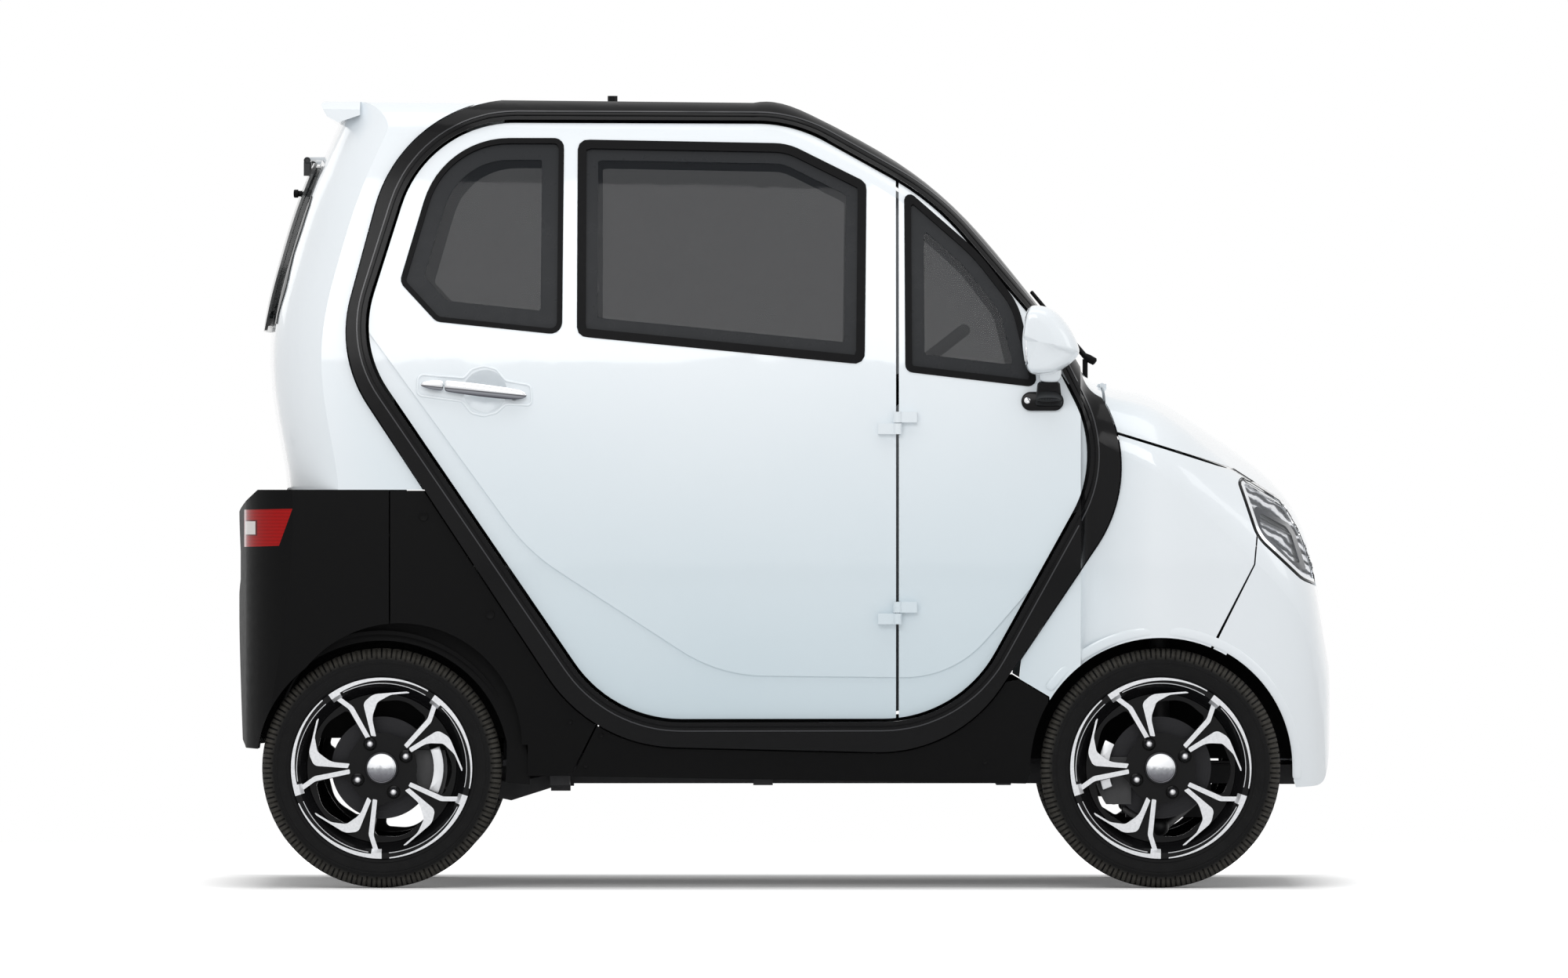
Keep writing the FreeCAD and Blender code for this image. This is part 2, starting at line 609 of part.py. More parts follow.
for z in (mm("upper_hinge_z"), mm("lower_hinge_z")):
    y = -side_y(z) - mm("hinge_offset")
    pin_radius = mm("hinge_pin_radius")
    barrel = Part.makeCylinder(9, half_knuckle - 1, Vector(hinge_x, y, z - half_knuckle))
    leaf = box(hinge_x - 40, hinge_x, y - 4, y + 22, z - half_knuckle, z - 1)
    pin = Part.makeCylinder(pin_radius, 2 * half_knuckle, Vector(hinge_x, y, z - half_knuckle))
    knuckles.append(barrel.fuse([leaf.cut(Part.makeCylinder(9, 60, Vector(hinge_x, y, z - 30))), pin]))
    top_barrel = Part.makeCylinder(9, half_knuckle - 1, Vector(hinge_x, y, z + 1))
    top_leaf = box(hinge_x, hinge_x + 40, y - 4, y + 22, z + 1, z + half_knuckle)
    top = top_barrel.fuse(top_leaf)
    sockets.append(top.cut(Part.makeCylinder(pin_radius + 0.08, 80, Vector(hinge_x, y, z - 40))))
door_part = joined(door_part, *knuckles)
clear_knuckle = [Part.makeCylinder(12, 2 * half_knuckle + 4, Vector(hinge_x, -side_y(z) - mm("hinge_offset"), z - half_knuckle - 2))
                 for z in (mm("upper_hinge_z"), mm("lower_hinge_z"))]
front_part = front_part.cut(clear_knuckle[0]).cut(clear_knuckle[1])
front_part = joined(front_part, *sockets)

door_right = add("door_right", door_part)
door_left = add("door_left", mirrored(door_part))
door_glass_right = add("door_glass_right", Part.makeCompound([panes[0], panes[1]]))
door_glass_left = add("door_glass_left", mirrored(Part.makeCompound([panes[0], panes[1]])))
handle_right = add("door_handle_right", handle)
handle_left = add("door_handle_left", mirrored(handle))
front_panels = add("front_side_panels", both(front_part))
quarter_glass = add("quarter_glass", both(panes[2]))

# Dark lower rear: bumper behind the seam, quarter panels ahead of it.
stern_line = [(-300, 818), (-1078, 818), (-1112, 788), (-1128, 772), (-1121, 690), (-1121, 632), (-1130, 592),
              (-1114, 303), (-1104, 287), (-1070, 285), (-900, 285), (-900, 229), (-300, 229)]
stern_out = polygon_slab(stern_line, -800, 800).common(stern_solid(0)).common(cabin_out)
stern_room = cabin_in.common(stern_solid(wall)).common(box(-1300, -200, -800, 800, 0, mm("belt_z") - wall))
upper_room = cabin_in.common(tail_in).common(box(-1300, -200, -800, 800, mm("belt_z") - wall - 1, 900))
stern_wall = stern_out.cut(stern_room).cut(upper_room)
arches_rear = arch_rear.fuse(mirrored(arch_rear))
bumper_rear = stern_wall.common(box(-1300, mm("rear_seam_x") - gap / 2, -800, 800, 0, mm("belt_z")))
bumper_rear = bumper_rear.cut(arches_rear).cut(frame_outer_clear).cut(mirrored(frame_outer_clear))
lamp_line = [(-1200, 775), (-1005, 779), (-1033, 703), (-1200, 697)]
lamp_slab = polygon_slab(lamp_line, NEAR, -mm("tail_lamp_inner"))
lamp_shape = bumper_rear.common(lamp_slab)
lamp_inner = stern_solid(20).common(cabin_solid(20))
lamp_shape = lamp_shape.cut(lamp_inner)
bumper_rear = bumper_rear.cut(lamp_shape).cut(mirrored(lamp_shape))
tail_lamps = add("tail_lamps", both(lamp_shape))
plate_holes = [Part.makeCylinder(mm("plate_hole_radius"), 90, Vector(-1150, side * mm("plate_hole_spacing") / 2, mm("plate_hole_z")),
                                 Vector(1, 0, 0)) for side in (-1, 1)]
bumper_rear = bumper_rear.cut(plate_holes)
rear_bumper = add("rear_bumper", max(bumper_rear.Solids, key=lambda s: s.Volume))

quarter_zone = side_polygon([(mm("rear_seam_x") + gap / 2, 816), (-650, 816), (-384, 420), (-384, 333), (-436, 230),
                             (mm("rear_seam_x") + gap / 2, 230)])
quarter = cabin_out.cut(cabin_in).common(quarter_zone).cut(frame_outer_clear).cut(arch_rear)
rear_quarters = add("rear_quarters", both(max(quarter.Solids, key=lambda s: s.Volume)))
sill_zone = side_polygon([(-432, 229), (-380, 334), (-330, 420), (440, 420), (485, 428), (546, 391), (540, 300),
                          (500, 214)])
sill = cabin_out.cut(cabin_in).common(sill_zone).cut(frame_outer_clear).cut(arch_front)
sills = add("sills", both(max(sill.Solids, key=lambda s: s.Volume)))

# Nose: hood, fenders, front bumper with the grille, headlamps.
hood_line = [(500, 960), (655, 947), (930, 862), (1085, 765), (1150, 742)]
hood_drop = mm("hood_gap")
hood_above = polygon_slab(hood_line + [(1150, 1300), (500, 1300)], -800, 800)
hood_below = polygon_slab([(x, z - hood_drop) for x, z in hood_line] + [(1150, 100), (500, 100)], -800, 800)
nose_wall = nose_out.cut(nose_in)
hood_shape = nose_wall.common(hood_above).common(box(mm("hood_rear_x"), 1300, -800, 800, 0, 1300))
hood_shape = hood_shape.cut(sides_taken)
pin_x = mm("hood_hinge_x")
pin_z = mm("hood_hinge_z")
hood_pin = mm("hood_pin_radius")
half_hood = mm("hood_hinge_length") / 2
hood_pieces = []
cowl_pieces = []
for side in (-1, 1):
    middle = side * mm("hood_hinge_spread")
    hood_pieces.append(disc_y(pin_x, pin_z, 5, middle - half_hood, middle - 0.4))
    hood_pieces.append(disc_y(pin_x, pin_z, hood_pin, middle - half_hood, middle + half_hood))
    hood_pieces.append(box(pin_x, pin_x + 30, middle - half_hood, middle - 0.4, pin_z - 34, pin_z - 2).cut(nose_solid(wall - 2)).common(nose_out).fuse(
        box(pin_x, pin_x + 9, middle - half_hood, middle - 0.4, pin_z - 12, pin_z + 3)))
    ear = disc_y(pin_x, pin_z, 5, middle + 0.4, middle + half_hood)
    ear = ear.fuse(box(pin_x - 9, pin_x, middle + 0.4, middle + half_hood, pin_z - 12, pin_z + 3))
    cowl_pieces.append(ear.cut(disc_y(pin_x, pin_z, hood_pin + 0.08, middle - 40, middle + 40)))
hood_main = max(hood_shape.Solids, key=lambda s: s.Volume)
ear_room = [disc_y(pin_x, pin_z, 8, side * mm("hood_hinge_spread") + 0.2, side * mm("hood_hinge_spread") + half_hood + 2) for side in (-1, 1)]
hood = add("hood", joined(hood_main.cut(ear_room), *hood_pieces))
cowl_room = [disc_y(pin_x, pin_z, 8, side * mm("hood_hinge_spread") - half_hood - 2, side * mm("hood_hinge_spread") - 0.2) for side in (-1, 1)]
cowl_main = max(cowl.Solids, key=lambda s: s.Volume)
cowl_panel = add("cowl_panel", joined(cowl_main.cut(cowl_room), *cowl_pieces))

lamp_wire = rounded_wire(HEADLAMP)
lamp_side = slab(lamp_wire, NEAR, -mm("lamp_inner")).cut(hood_above)
lamp_pocket = slab(rounded_wire(HEADLAMP, 2), NEAR, -mm("lamp_inner") + 2).cut(hood_above)
lens = nose_out.cut(nose_solid(4)).common(lamp_side).common(hood_below)
bowl_out = nose_solid(4.2).cut(nose_solid(60)).common(lamp_side).common(hood_below)
bowl_room = nose_solid(4).cut(nose_solid(50)).common(slab(rounded_wire(HEADLAMP, -8), NEAR, -mm("lamp_inner") - 8))
bowl = bowl_out.cut(bowl_room)
headlamp_lenses = add("headlamp_lenses", both(max(lens.Solids, key=lambda s: s.Volume)))
headlamp_bowls = add("headlamp_bowls", both(max(bowl.Solids, key=lambda s: s.Volume)))

fender_zone = side_polygon([(486, 430), (548, 393), (560, 246), (777, 246), (880, 495), (968, 665), (975, 740),
                            (975, 1200), (560, 1200)])
fender = outer.cut(inner).common(fender_zone).cut(frame_outer_clear).cut(arch_front).cut(lamp_pocket)
fender = fender.common(hood_below.fuse(side_polygon([(470, 100), (mm("cowl_x") - 41, 100), (mm("cowl_x") - 41, 1300),
                                                      (470, 1300)])))
front_fenders = add("front_fenders", both(max(fender.Solids, key=lambda s: s.Volume)))

prow_zone = polygon_slab([(881 + gap, 490), (971, 664), (978, 740), (978, 900), (1200, 900), (1200, 150), (1057, 205),
                          (1037, 261), (990, 246), (777, 246)], -800, 800)
arches_front = arch_front.fuse(mirrored(arch_front))
prow = nose_wall.common(prow_zone).common(hood_below).cut(arches_front)
prow = prow.cut(lamp_pocket).cut(mirrored(lamp_pocket))
slot_room = nose_out.cut(nose_solid(mm("grille_depth")))
slots = []
for k in range(int(mm("grille_count"))):
    z = mm("grille_low") + k * mm("grille_pitch")
    half = mm("grille_half") - 10 * k
    slots.append(slot_room.common(box(1000, 1300, -half, half, z, z + mm("grille_slot"))))
slots.append(slot_room.common(box(1000, 1300, -mm("intake_half"), mm("intake_half"), mm("intake_low"), mm("intake_high"))))
prow = prow.cut(slots)
pin_y = mm("kingpin_foot_y") - (mm("kingpin_foot_y") - mm("kingpin_head_y")) * (
    (axle_z - mm("kingpin_foot_z")) / (mm("kingpin_head_z") - mm("kingpin_foot_z")))
turn_room = Part.makeSphere(mm("turn_radius"), Vector(front_x, -pin_y, axle_z)).common(nose_solid(mm("turn_wall")))
prow = prow.cut([turn_room, mirrored(turn_room)])
lip_room = disc_y(front_x, axle_z, mm("front_arch_radius") + mm("turn_lip"), -mm("turn_lip_y"), FAR)
prow = prow.cut([lip_room, mirrored(lip_room)])
front_bumper = add("front_bumper", max(prow.Solids, key=lambda s: s.Volume))

# Wheel housings.
room = cabin_solid(wall + 1).fuse(nose_solid(wall + 1))
trim_room = cabin_solid(door_depth + 2).fuse(nose_solid(door_depth + 2))
liner = mm("liner_wall")


def housing(x, radius, inner_y, floor):
    """Half-round wheel housing open downwards, closed by a wall on the inboard side."""
    drum = disc_y(x, axle_z, radius + liner, -700, -inner_y)
    hollow = disc_y(x, axle_z, radius, -700, -inner_y - liner)
    shell = drum.cut(hollow).common(box(-1300, 1300, -800, 0, floor, 1000))
    return shell.common(room)


front_housing = housing(front_x, mm("liner_radius"), mm("front_liner_inner"), axle_z + 16)
front_housing = front_housing.cut(bar((front_x, -mm("kingpin_foot_y"), mm("kingpin_foot_z")),
                                      (front_x, -mm("kingpin_head_y"), mm("kingpin_head_z")), 30))
rear_housing = housing(rear_x, mm("rear_liner_radius"), mm("rear_liner_inner"), axle_z + 60)
rear_housing = rear_housing.common(stern_solid(wall + 1))
wheel_liners = add("wheel_liners", Part.makeCompound(
    [max(front_housing.Solids, key=lambda s: s.Volume), max(rear_housing.Solids, key=lambda s: s.Volume),
     max(mirrored(front_housing).Solids, key=lambda s: s.Volume),
     max(mirrored(rear_housing).Solids, key=lambda s: s.Volume)]))
liner_keep = disc_y(front_x, axle_z, mm("liner_radius") + liner + 1, -700, -mm("front_liner_inner") + 1)
liner_keep = liner_keep.fuse(mirrored(liner_keep))

# Floor pan, bulkhead and chassis.
floor_top = mm("floor_z")
floor_low = floor_top - mm("floor_thickness")
floor_half = 494
neck = mm("front_liner_inner") - 2
pan = joined(box(mm("floor_rear_x"), 468, -floor_half, floor_half, floor_low, floor_top),
             box(468, mm("bulkhead_x"), -neck, neck, floor_low, floor_top))
kick = box(mm("floor_rear_x"), mm("floor_rear_x") + 12, -floor_half + 110, floor_half - 110, floor_top, 540)
deck = box(-1060, mm("floor_rear_x") + 12, -380, 380, 540, 552)
floor_pan = add("floor_pan", joined(pan, kick, deck))
bulkhead_blank = box(mm("bulkhead_x"), mm("bulkhead_x") + 10, -600, 600, floor_low, 985)
bulkhead = add("bulkhead", max(bulkhead_blank.common(trim_room).cut(liner_keep).Solids, key=lambda s: s.Volume))

rail_top = floor_low
rail_low = rail_top - mm("rail_height")
half_rail = mm("rail_width") / 2
beam_rear = mm("tie_down_x") - mm("tie_down_beam") / 2
beam_front = mm("tie_down_x") + mm("tie_down_beam") / 2
rail_line = [(beam_front + 2, rail_low), (beam_front + 2, rail_top), (-578, rail_top), (-678, 415), (-1070, 415), (-1070, 378),
             (-700, 378), (-600, rail_low)]
rails = []
for y in (-mm("rail_spread"), mm("rail_spread")):
    rails.append(polygon_slab(rail_line, y - half_rail, y + half_rail))
pivot_x = mm("arm_pivot_x")
pivot_z = mm("arm_pivot_z")
crossings = [
    box(beam_rear, beam_front, -330, 330, rail_low, rail_top),
    box(440, 470, -460, 460, rail_low, rail_top),
    box(-60, -20, -470, 470, rail_low, rail_top),
    box(pivot_x + 15, pivot_x + 55, -470, 470, rail_low, rail_top),
    box(-1072, -1040, -360, 360, 378, 415),
]
for side in (-1, 1):
    low, high = sorted((side * 272, side * 328))
    crossings.append(box(pivot_x + 15, pivot_x + 55, low, high, rail_low - 14, rail_top))
tie_downs = [Part.makeCylinder(mm("tie_down_radius"), 80, Vector(mm("tie_down_x"), side * mm("tie_down_spacing") / 2, 190))
             for side in (-1, 1)]
chassis = joined(rails[0], rails[1], *crossings).cut(tie_downs)
chassis_frame = add("chassis_frame", chassis)

# Battery block, seats, dashboard.
battery = doc.addObject("Part::Box", "battery_block")
battery.setExpression("Length", "sizes.battery_length")
battery.setExpression("Width", "sizes.battery_width")
battery.setExpression("Height", "sizes.battery_height")
battery.setExpression("Placement.Base.x", "sizes.seat_x - sizes.battery_length / 2")
battery.setExpression("Placement.Base.y", "-sizes.battery_width / 2")
battery.setExpression("Placement.Base.z", "sizes.floor_z")
seat_x = mm("seat_x")
seat_half = mm("seat_width") / 2
seat_top = mm("seat_height")
cushion = mm("cushion_depth")
base_top = seat_top - cushion
base_box = box(seat_x - 205, seat_x + 205, -seat_half + 8, seat_half - 8, floor_top, base_top)
base_room = box(seat_x - 195, seat_x + 195, -seat_half + 18, seat_half - 18, floor_top, base_top - 10)
bench_half = mm("bench_width") / 2
bench_top = mm("bench_height")
bench_box = box(-850, -590, -bench_half, bench_half, 552, bench_top - cushion)
seat_bases = add("seat_bases", Part.makeCompound([base_box.cut(base_room), bench_box]))


def padded_block(x0, x1, half, z0, z1, radius):
    """Upholstered block with every edge rounded."""
    block = box(x0, x1, -half, half, z0, z1)
    return block.makeFillet(radius, block.Edges)


driver_pad = padded_block(seat_x - 215, seat_x + 235, seat_half, base_top, seat_top, 28)
bench_pad = padded_block(-850, -480, bench_half, bench_top - cushion, bench_top, 28)
seat_cushions = add("seat_cushions", Part.makeCompound([driver_pad, bench_pad]))
driver_back = padded_block(0, 85, seat_half - 6, 0, 560, 28)
driver_back.rotate(Vector(0, 0, 0), Vector(0, 1, 0), -10)
driver_back.translate(Vector(seat_x - 212, 0, seat_top - 4.5))
head_rest = padded_block(0, 70, 120, 0, 120, 25)
head_rest.rotate(Vector(0, 0, 0), Vector(0, 1, 0), -10)
head_rest.translate(Vector(seat_x - 312, 0, seat_top + 585))
stalk_a = bar((seat_x - 262, -60, seat_top + 520), (seat_x - 284, -60, seat_top + 640), 6)
stalk_b = bar((seat_x - 262, 60, seat_top + 520), (seat_x - 284, 60, seat_top + 640), 6)
back_rear = padded_block(0, 80, bench_half, 0, 480, 26)
back_rear.rotate(Vector(0, 0, 0), Vector(0, 1, 0), -8)
back_rear.translate(Vector(-846, 0, bench_top - 3.2))
seat_backs = add("seat_backs", Part.makeCompound([joined(driver_back, head_rest, stalk_a, stalk_b), back_rear]))

tilt = math.radians(mm("helm_tilt"))
axis = Vector(-math.sin(tilt), 0, math.cos(tilt))
hub = Vector(mm("helm_x"), 0, mm("helm_z"))


def along(reach):
    """A point on the steering column, a distance below the wheel hub."""
    return hub - axis * reach


dash_line = [(400, 985), (430, 1010), (590, 1035), (638, 985), (638, 800), (600, 770), (470, 790), (410, 880)]
dash = polygon_slab(dash_line, -600, 600).common(trim_room)
pod = polygon_slab([(400, 985), (395, 1040), (430, 1075), (560, 1050), (590, 1020)], -150, 150)
column_low = along(400)
column_top = along(60)
column = bar(tuple(column_low), tuple(column_top), 24)
bore = bar(tuple(along(420)), tuple(along(-10)), 12)
dash = joined(dash, pod, column).cut(bore)
dashboard = add("dashboard", max(dash.Solids, key=lambda s: s.Volume))
ring = Part.makeTorus(mm("helm_radius"), mm("helm_grip"), hub + axis * 30, axis)
boss = Part.makeCylinder(46, 34, hub - axis * 8, axis)
shaft = Part.makeCylinder(9, 330, along(335), axis)
spokes = []
for degrees in (90, 180, 270):
    arm_bar = Part.makeBox(mm("helm_radius") - 30, 34, 12, Vector(30, -17, 12))
    arm_bar.rotate(Vector(0, 0, 0), Vector(0, 0, 1), degrees)
    arm_bar.rotate(Vector(0, 0, 0), Vector(0, 1, 0), -mm("helm_tilt"))
    arm_bar.translate(hub)
    spokes.append(arm_bar)
steering_wheel = add("steering_wheel", joined(ring, boss, shaft, *spokes))

# Front suspension: crossmember and lower arms on the chassis, strut and upright on the knuckle.
foot = Vector(front_x, -mm("kingpin_foot_y"), mm("kingpin_foot_z"))
head = Vector(front_x, -mm("kingpin_head_y"), mm("kingpin_head_z"))
lean = (head - foot).normalize()


def on_pin(z):
    """The steering axis at a height, on the right-hand side."""
    return foot + lean * ((z - foot.z) / lean.z)


arm_front = bar((front_x + 90, -236, 190), (front_x + 3, foot.y + 10, foot.z - 1), 13)
arm_rear = bar((front_x - 60, -236, 158), (front_x - 3, foot.y + 10, foot.z - 1), 13)
ball = Part.makeSphere(19, Vector(foot.x, foot.y + 4, foot.z - 2))
wishbone = joined(arm_front, arm_rear, ball)
pad_block = box(front_x - 66, front_x + 110, -244, -190, 140, rail_low)
tower = Part.makeCylinder(58, 14, Vector(front_x, head.y + 12, head.z + 8)).common(whole)
tower_arm = box(front_x - 22, front_x + 22, -262, -206, rail_top, head.z + 22)
tower_top = box(front_x - 22, front_x + 22, -300, -206, head.z + 8, head.z + 22)
front_one = joined(wishbone.cut(pad_block), pad_block, tower_arm, tower_top, tower)
front_suspension = add("front_suspension", both(front_one))

upright = box(front_x - 26, front_x + 26, -424, -388, 152, 345)
upright = upright.cut(bar(tuple(foot - lean * 20), tuple(foot + lean * 24), 26))
stub = disc_y(front_x, axle_z, 33, -446, -404)
strut = bar(tuple(on_pin(290)), tuple(head + lean * (-10)), mm("strut_radius"))
arm_x = front_x - mm("steer_arm")
steer_arm = polygon_slab([(front_x - 20, 196), (arm_x - 12, 203), (arm_x - 12, 215), (front_x - 20, 224)], -408, -390)
steer_arm = steer_arm.fuse(box(arm_x - 12, arm_x + 12, -408, -mm("rod_end_y") + 10, 203, 215)).removeSplitter()
caliper_front = disc_y(front_x, axle_z, 134, -484, -434).cut(disc_y(front_x, axle_z, 72, -500, -400))
caliper_front = caliper_front.common(box(front_x - 140, front_x - 60, -500, -400, axle_z - 75, axle_z + 22))
slot_front = disc_y(front_x, axle_z, mm("brake_radius") + 3, -wheel_y + mm("brake_inset") - 6,
                    -wheel_y + mm("brake_inset") + mm("brake_thickness") + 2)
caliper_front = caliper_front.cut(slot_front)
caliper_arm = box(front_x - 110, front_x - 20, -434, -418, axle_z - 40, axle_z + 10)
caliper_arm = caliper_arm.fuse(box(front_x - 110, front_x - 76, -440, -418, axle_z - 40, axle_z + 10))
knuckle_shape = joined(upright, stub, strut, steer_arm, caliper_front, caliper_arm)
knuckle_right = add("knuckle_right", knuckle_shape)
knuckle_left = add("knuckle_left", mirrored(knuckle_shape))

# Steering rack with its tie rods, sliding in a tube on the chassis.
rack_z = mm("rack_z")
eye_y = mm("rod_end_y")
rack_bar = disc_y(arm_x, rack_z, 9, -eye_y, eye_y)
eyes = [Part.makeCylinder(12, 12, Vector(arm_x, y, rack_z - 6)) for y in (-eye_y, eye_y)]
steering_rack = add("steering_rack", joined(rack_bar, *eyes))
tube = disc_y(arm_x, rack_z, 20, -190, 190).cut(disc_y(arm_x, rack_z, 9.3, -200, 200))
mounts = [box(arm_x - 18, arm_x + 18, y, y + 24, rack_z + 8, rail_low) for y in (-186, 162)]
tube = joined(tube, *[m.cut(disc_y(arm_x, rack_z, 12, -300, 300)) for m in mounts])
rack_tube = add("rack_housing", tube.fuse([box(arm_x - 18, arm_x + 18, y, y + 40, rail_low - 10, rail_low)
                                           for y in (-230, 190)]).removeSplitter())

# Rear axle with drive motor, trailing arms and coil struts.
axle_tube = disc_y(rear_x, axle_z, mm("axle_radius"), -420, 420)
motor = disc_y(rear_x, axle_z, mm("motor_radius"), -mm("motor_length") / 2, mm("motor_length") / 2)
gear_case = disc_y(rear_x, axle_z, 76, mm("motor_length") / 2, mm("motor_length") / 2 + 90)
back_plates = [disc_y(rear_x, axle_z, 60, y, y + 16) for y in (-436, 420)]
caliper_rear = disc_y(rear_x, axle_z, 134, -484, -434).cut(disc_y(rear_x, axle_z, 72, -500, -400))
caliper_rear = caliper_rear.common(box(rear_x + 60, rear_x + 140, -500, -400, axle_z - 60, axle_z + 36))
slot_rear = disc_y(rear_x, axle_z, mm("brake_radius") + 3, -wheel_y + mm("brake_inset") - 6,
                   -wheel_y + mm("brake_inset") + mm("brake_thickness") + 2)
caliper_rear = caliper_rear.cut(slot_rear)
caliper_foot = box(rear_x + 30, rear_x + 110, -440, -424, axle_z - 45, axle_z + 15)
rear_axle = add("rear_axle", joined(axle_tube, motor, gear_case, back_plates[0], back_plates[1], caliper_rear,
                                    mirrored(caliper_rear), caliper_foot, mirrored(caliper_foot)))
arm_line = [(pivot_x + 15, pivot_z - 14), (pivot_x + 15, pivot_z + 14), (-560, 212), (rear_x + 20, axle_z + 18),
            (rear_x + 20, axle_z - 18), (-560, 176)]
arm_shapes = []
for y in (-300,):
    trail = polygon_slab(arm_line, y - 18, y + 18).cut(disc_y(rear_x, axle_z, mm("axle_radius"), -420, 420))
    arm_shapes += sorted(trail.Solids, key=lambda s: s.Volume)[-1:]
coil = Part.makeCylinder(34, 190, Vector(rear_x, -300, axle_z + 58))
rod = Part.makeCylinder(11, 270, Vector(rear_x, -300, axle_z + 24))
rod = rod.cut(disc_y(rear_x, axle_z, mm("axle_radius"), -420, 420))
spring = joined(coil, rod.common(box(-1300, 0, -800, 0, 0, 538)))
rear_suspension = add("rear_suspension", both(Part.makeCompound(arm_shapes + [spring])))

# Mirrors: a black foot on the fixed panel, a stem and a white shell.
mirror_foot = joined(box(512, 556, -600, -545, 979, 1019), disc_y(512, 999, 20, -600, -545),
                     disc_y(556, 999, 20, -600, -545))
mirror_foot = mirror_foot.cut(outer)
stem = bar((534, -590, 1005), (548, -640, 1075), 13)
shell_line = [(497, 1150, 28), (510, 1192, 18), (560, 1186, 34), (610, 1120, 26), (596, 1062, 26), (512, 1062, 26)]
mirror_head = slab(rounded_wire(shell_line), -705, -595)
mirror_one = joined(mirror_foot, stem, mirror_head)
mirrors = add("mirrors", both(max(mirror_one.Solids, key=lambda s: s.Volume)))

# Wiper: arm and blade resting just above the windscreen.
pivot = Vector(mm("wiper_x"), mm("wiper_y"), 1096)
wiper_arm = bar(tuple(pivot), (520, 120, 1232), 6)
wiper_post = Part.makeCylinder(mm("wiper_post"), 60, Vector(mm("wiper_x"), mm("wiper_y"), 1044))
wiper = add("wiper", joined(wiper_arm, wiper_post))

# Wheels. One tyre, rim and brake disc, used four times.
tyre_half = mm("tyre_width") / 2
rim_half = mm("rim_width") / 2
tyre_body = doc.addObject("PartDesign::Body", "tyre_body")


def origin_plane(body, role):
    for feature in body.Origin.OriginFeatures:
        if feature.Role == role:
            return feature
    raise ValueError(role)


sketch = tyre_body.newObject("Sketcher::SketchObject", "tyre_profile")
sketch.AttachmentSupport = [(origin_plane(tyre_body, "XY_Plane"), "")]
sketch.MapMode = "FlatFace"
tread = mm("tyre_radius")
seat = mm("rim_radius") - 4
bead = rim_half - 8
foot_r = mm("rim_radius") + 1
profile = [(seat, -bead), (foot_r, -bead), (seat + 22, -tyre_half), (tread - 16, -tyre_half + 4), (tread, -tyre_half + 26),
           (tread, tyre_half - 26), (tread - 16, tyre_half - 4), (seat + 22, tyre_half), (foot_r, bead), (seat, bead)]
for i, (r, w) in enumerate(profile):
    r2, w2 = profile[(i + 1) % len(profile)]
    sketch.addGeometry(Part.LineSegment(Vector(r, w, 0), Vector(r2, w2, 0)), False)
turn = tyre_body.newObject("PartDesign::Revolution", "tyre_turn")
turn.Profile = sketch
turn.ReferenceAxis = (origin_plane(tyre_body, "Y_Axis"), [""])
turn.Angle = 360
tyre_body.Tip = turn
doc.recompute()
tyre_shape = tyre_body.Shape

lip = mm("rim_radius")
skin = mm("rim_skin")
well = mm("rim_well")


def ring_y(outer_radius, inner_radius, y0, y1):
    return disc_y(0, 0, outer_radius, y0, y1).cut(disc_y(0, 0, inner_radius, y0 - 1, y1 + 1))


rim_body = doc.addObject("PartDesign::Body", "rim_body")
rim_sketch = rim_body.newObject("Sketcher::SketchObject", "rim_profile")
rim_sketch.AttachmentSupport = [(origin_plane(rim_body, "XY_Plane"), "")]
rim_sketch.MapMode = "FlatFace"
rim_corners = [(well, 26 - rim_half), (lip - 12, -rim_half), (lip, -rim_half), (lip, 7 - rim_half), (seat, 7 - rim_half),
               (seat, 24 - rim_half), (well + skin, 34 - rim_half), (well + skin, rim_half - 34), (seat, rim_half - 24),
               (seat, rim_half - 7), (lip, rim_half - 7), (lip, rim_half), (lip - 12, rim_half), (well, rim_half - 28)]
for i, (r, w) in enumerate(rim_corners):
    r2, w2 = rim_corners[(i + 1) % len(rim_corners)]
    rim_sketch.addGeometry(Part.LineSegment(Vector(r, w, 0), Vector(r2, w2, 0)), False)
rim_turn = rim_body.newObject("PartDesign::Revolution", "rim_turn")
rim_turn.Profile = rim_sketch
rim_turn.ReferenceAxis = (origin_plane(rim_body, "Y_Axis"), [""])
rim_turn.Angle = 360
rim_body.Tip = rim_turn
doc.recompute()
barrel = rim_body.Shape
face_y = -rim_half + mm("disc_inset")
web = disc_y(0, 0, well + 3, face_y, face_y + mm("disc_depth"))


def turned(corners, k, near, far):
    """A wheel outline, given as radius, angle and corner radius, stretched and turned to its spoke."""
    step = 360.0 / mm("spoke_count") * k
    places = []
    for radius, degrees, corner in corners:
        a = math.radians(degrees + step)
        places.append((radius * math.cos(a), radius * math.sin(a), corner))
    return slab(rounded_wire(places), near, far)


# One open window, one straight bright arm and one hooked bright blade for each spoke.
WINDOW = [(74, 99, 8), (108, 101, 14), (137, 94, 12), (149, 71, 60), (139, 48, 10), (80, 47, 10)]
ARM = [(176, 124.6, 1), (139, 119.2, 20), (66, 118, 2), (66, 110, 2), (139, 114.8, 20), (176, 121.2, 1)]
BLADE = [(70, 108, 1.5), (139, 106, 14), (153, 96.7, 30), (168, 70, 1.2), (164, 70, 1.2), (152, 83, 30), (136, 93.8, 14),
         (106, 101, 40), (66, 100, 1.5)]
ridge_top = face_y - mm("ridge_height")
holes = []
ridges = []
for k in range(int(mm("spoke_count"))):
    holes.append(turned(WINDOW, k, face_y - 5, face_y + mm("disc_depth") + 5))
    ridges.append(turned(ARM, k, ridge_top, face_y + 2))
    ridges.append(turned(BLADE, k, ridge_top, face_y + 2))
web = web.cut(holes)
hub_block = disc_y(0, 0, mm("hub_radius"), face_y, face_y + mm("disc_depth") + 14)
nuts = []
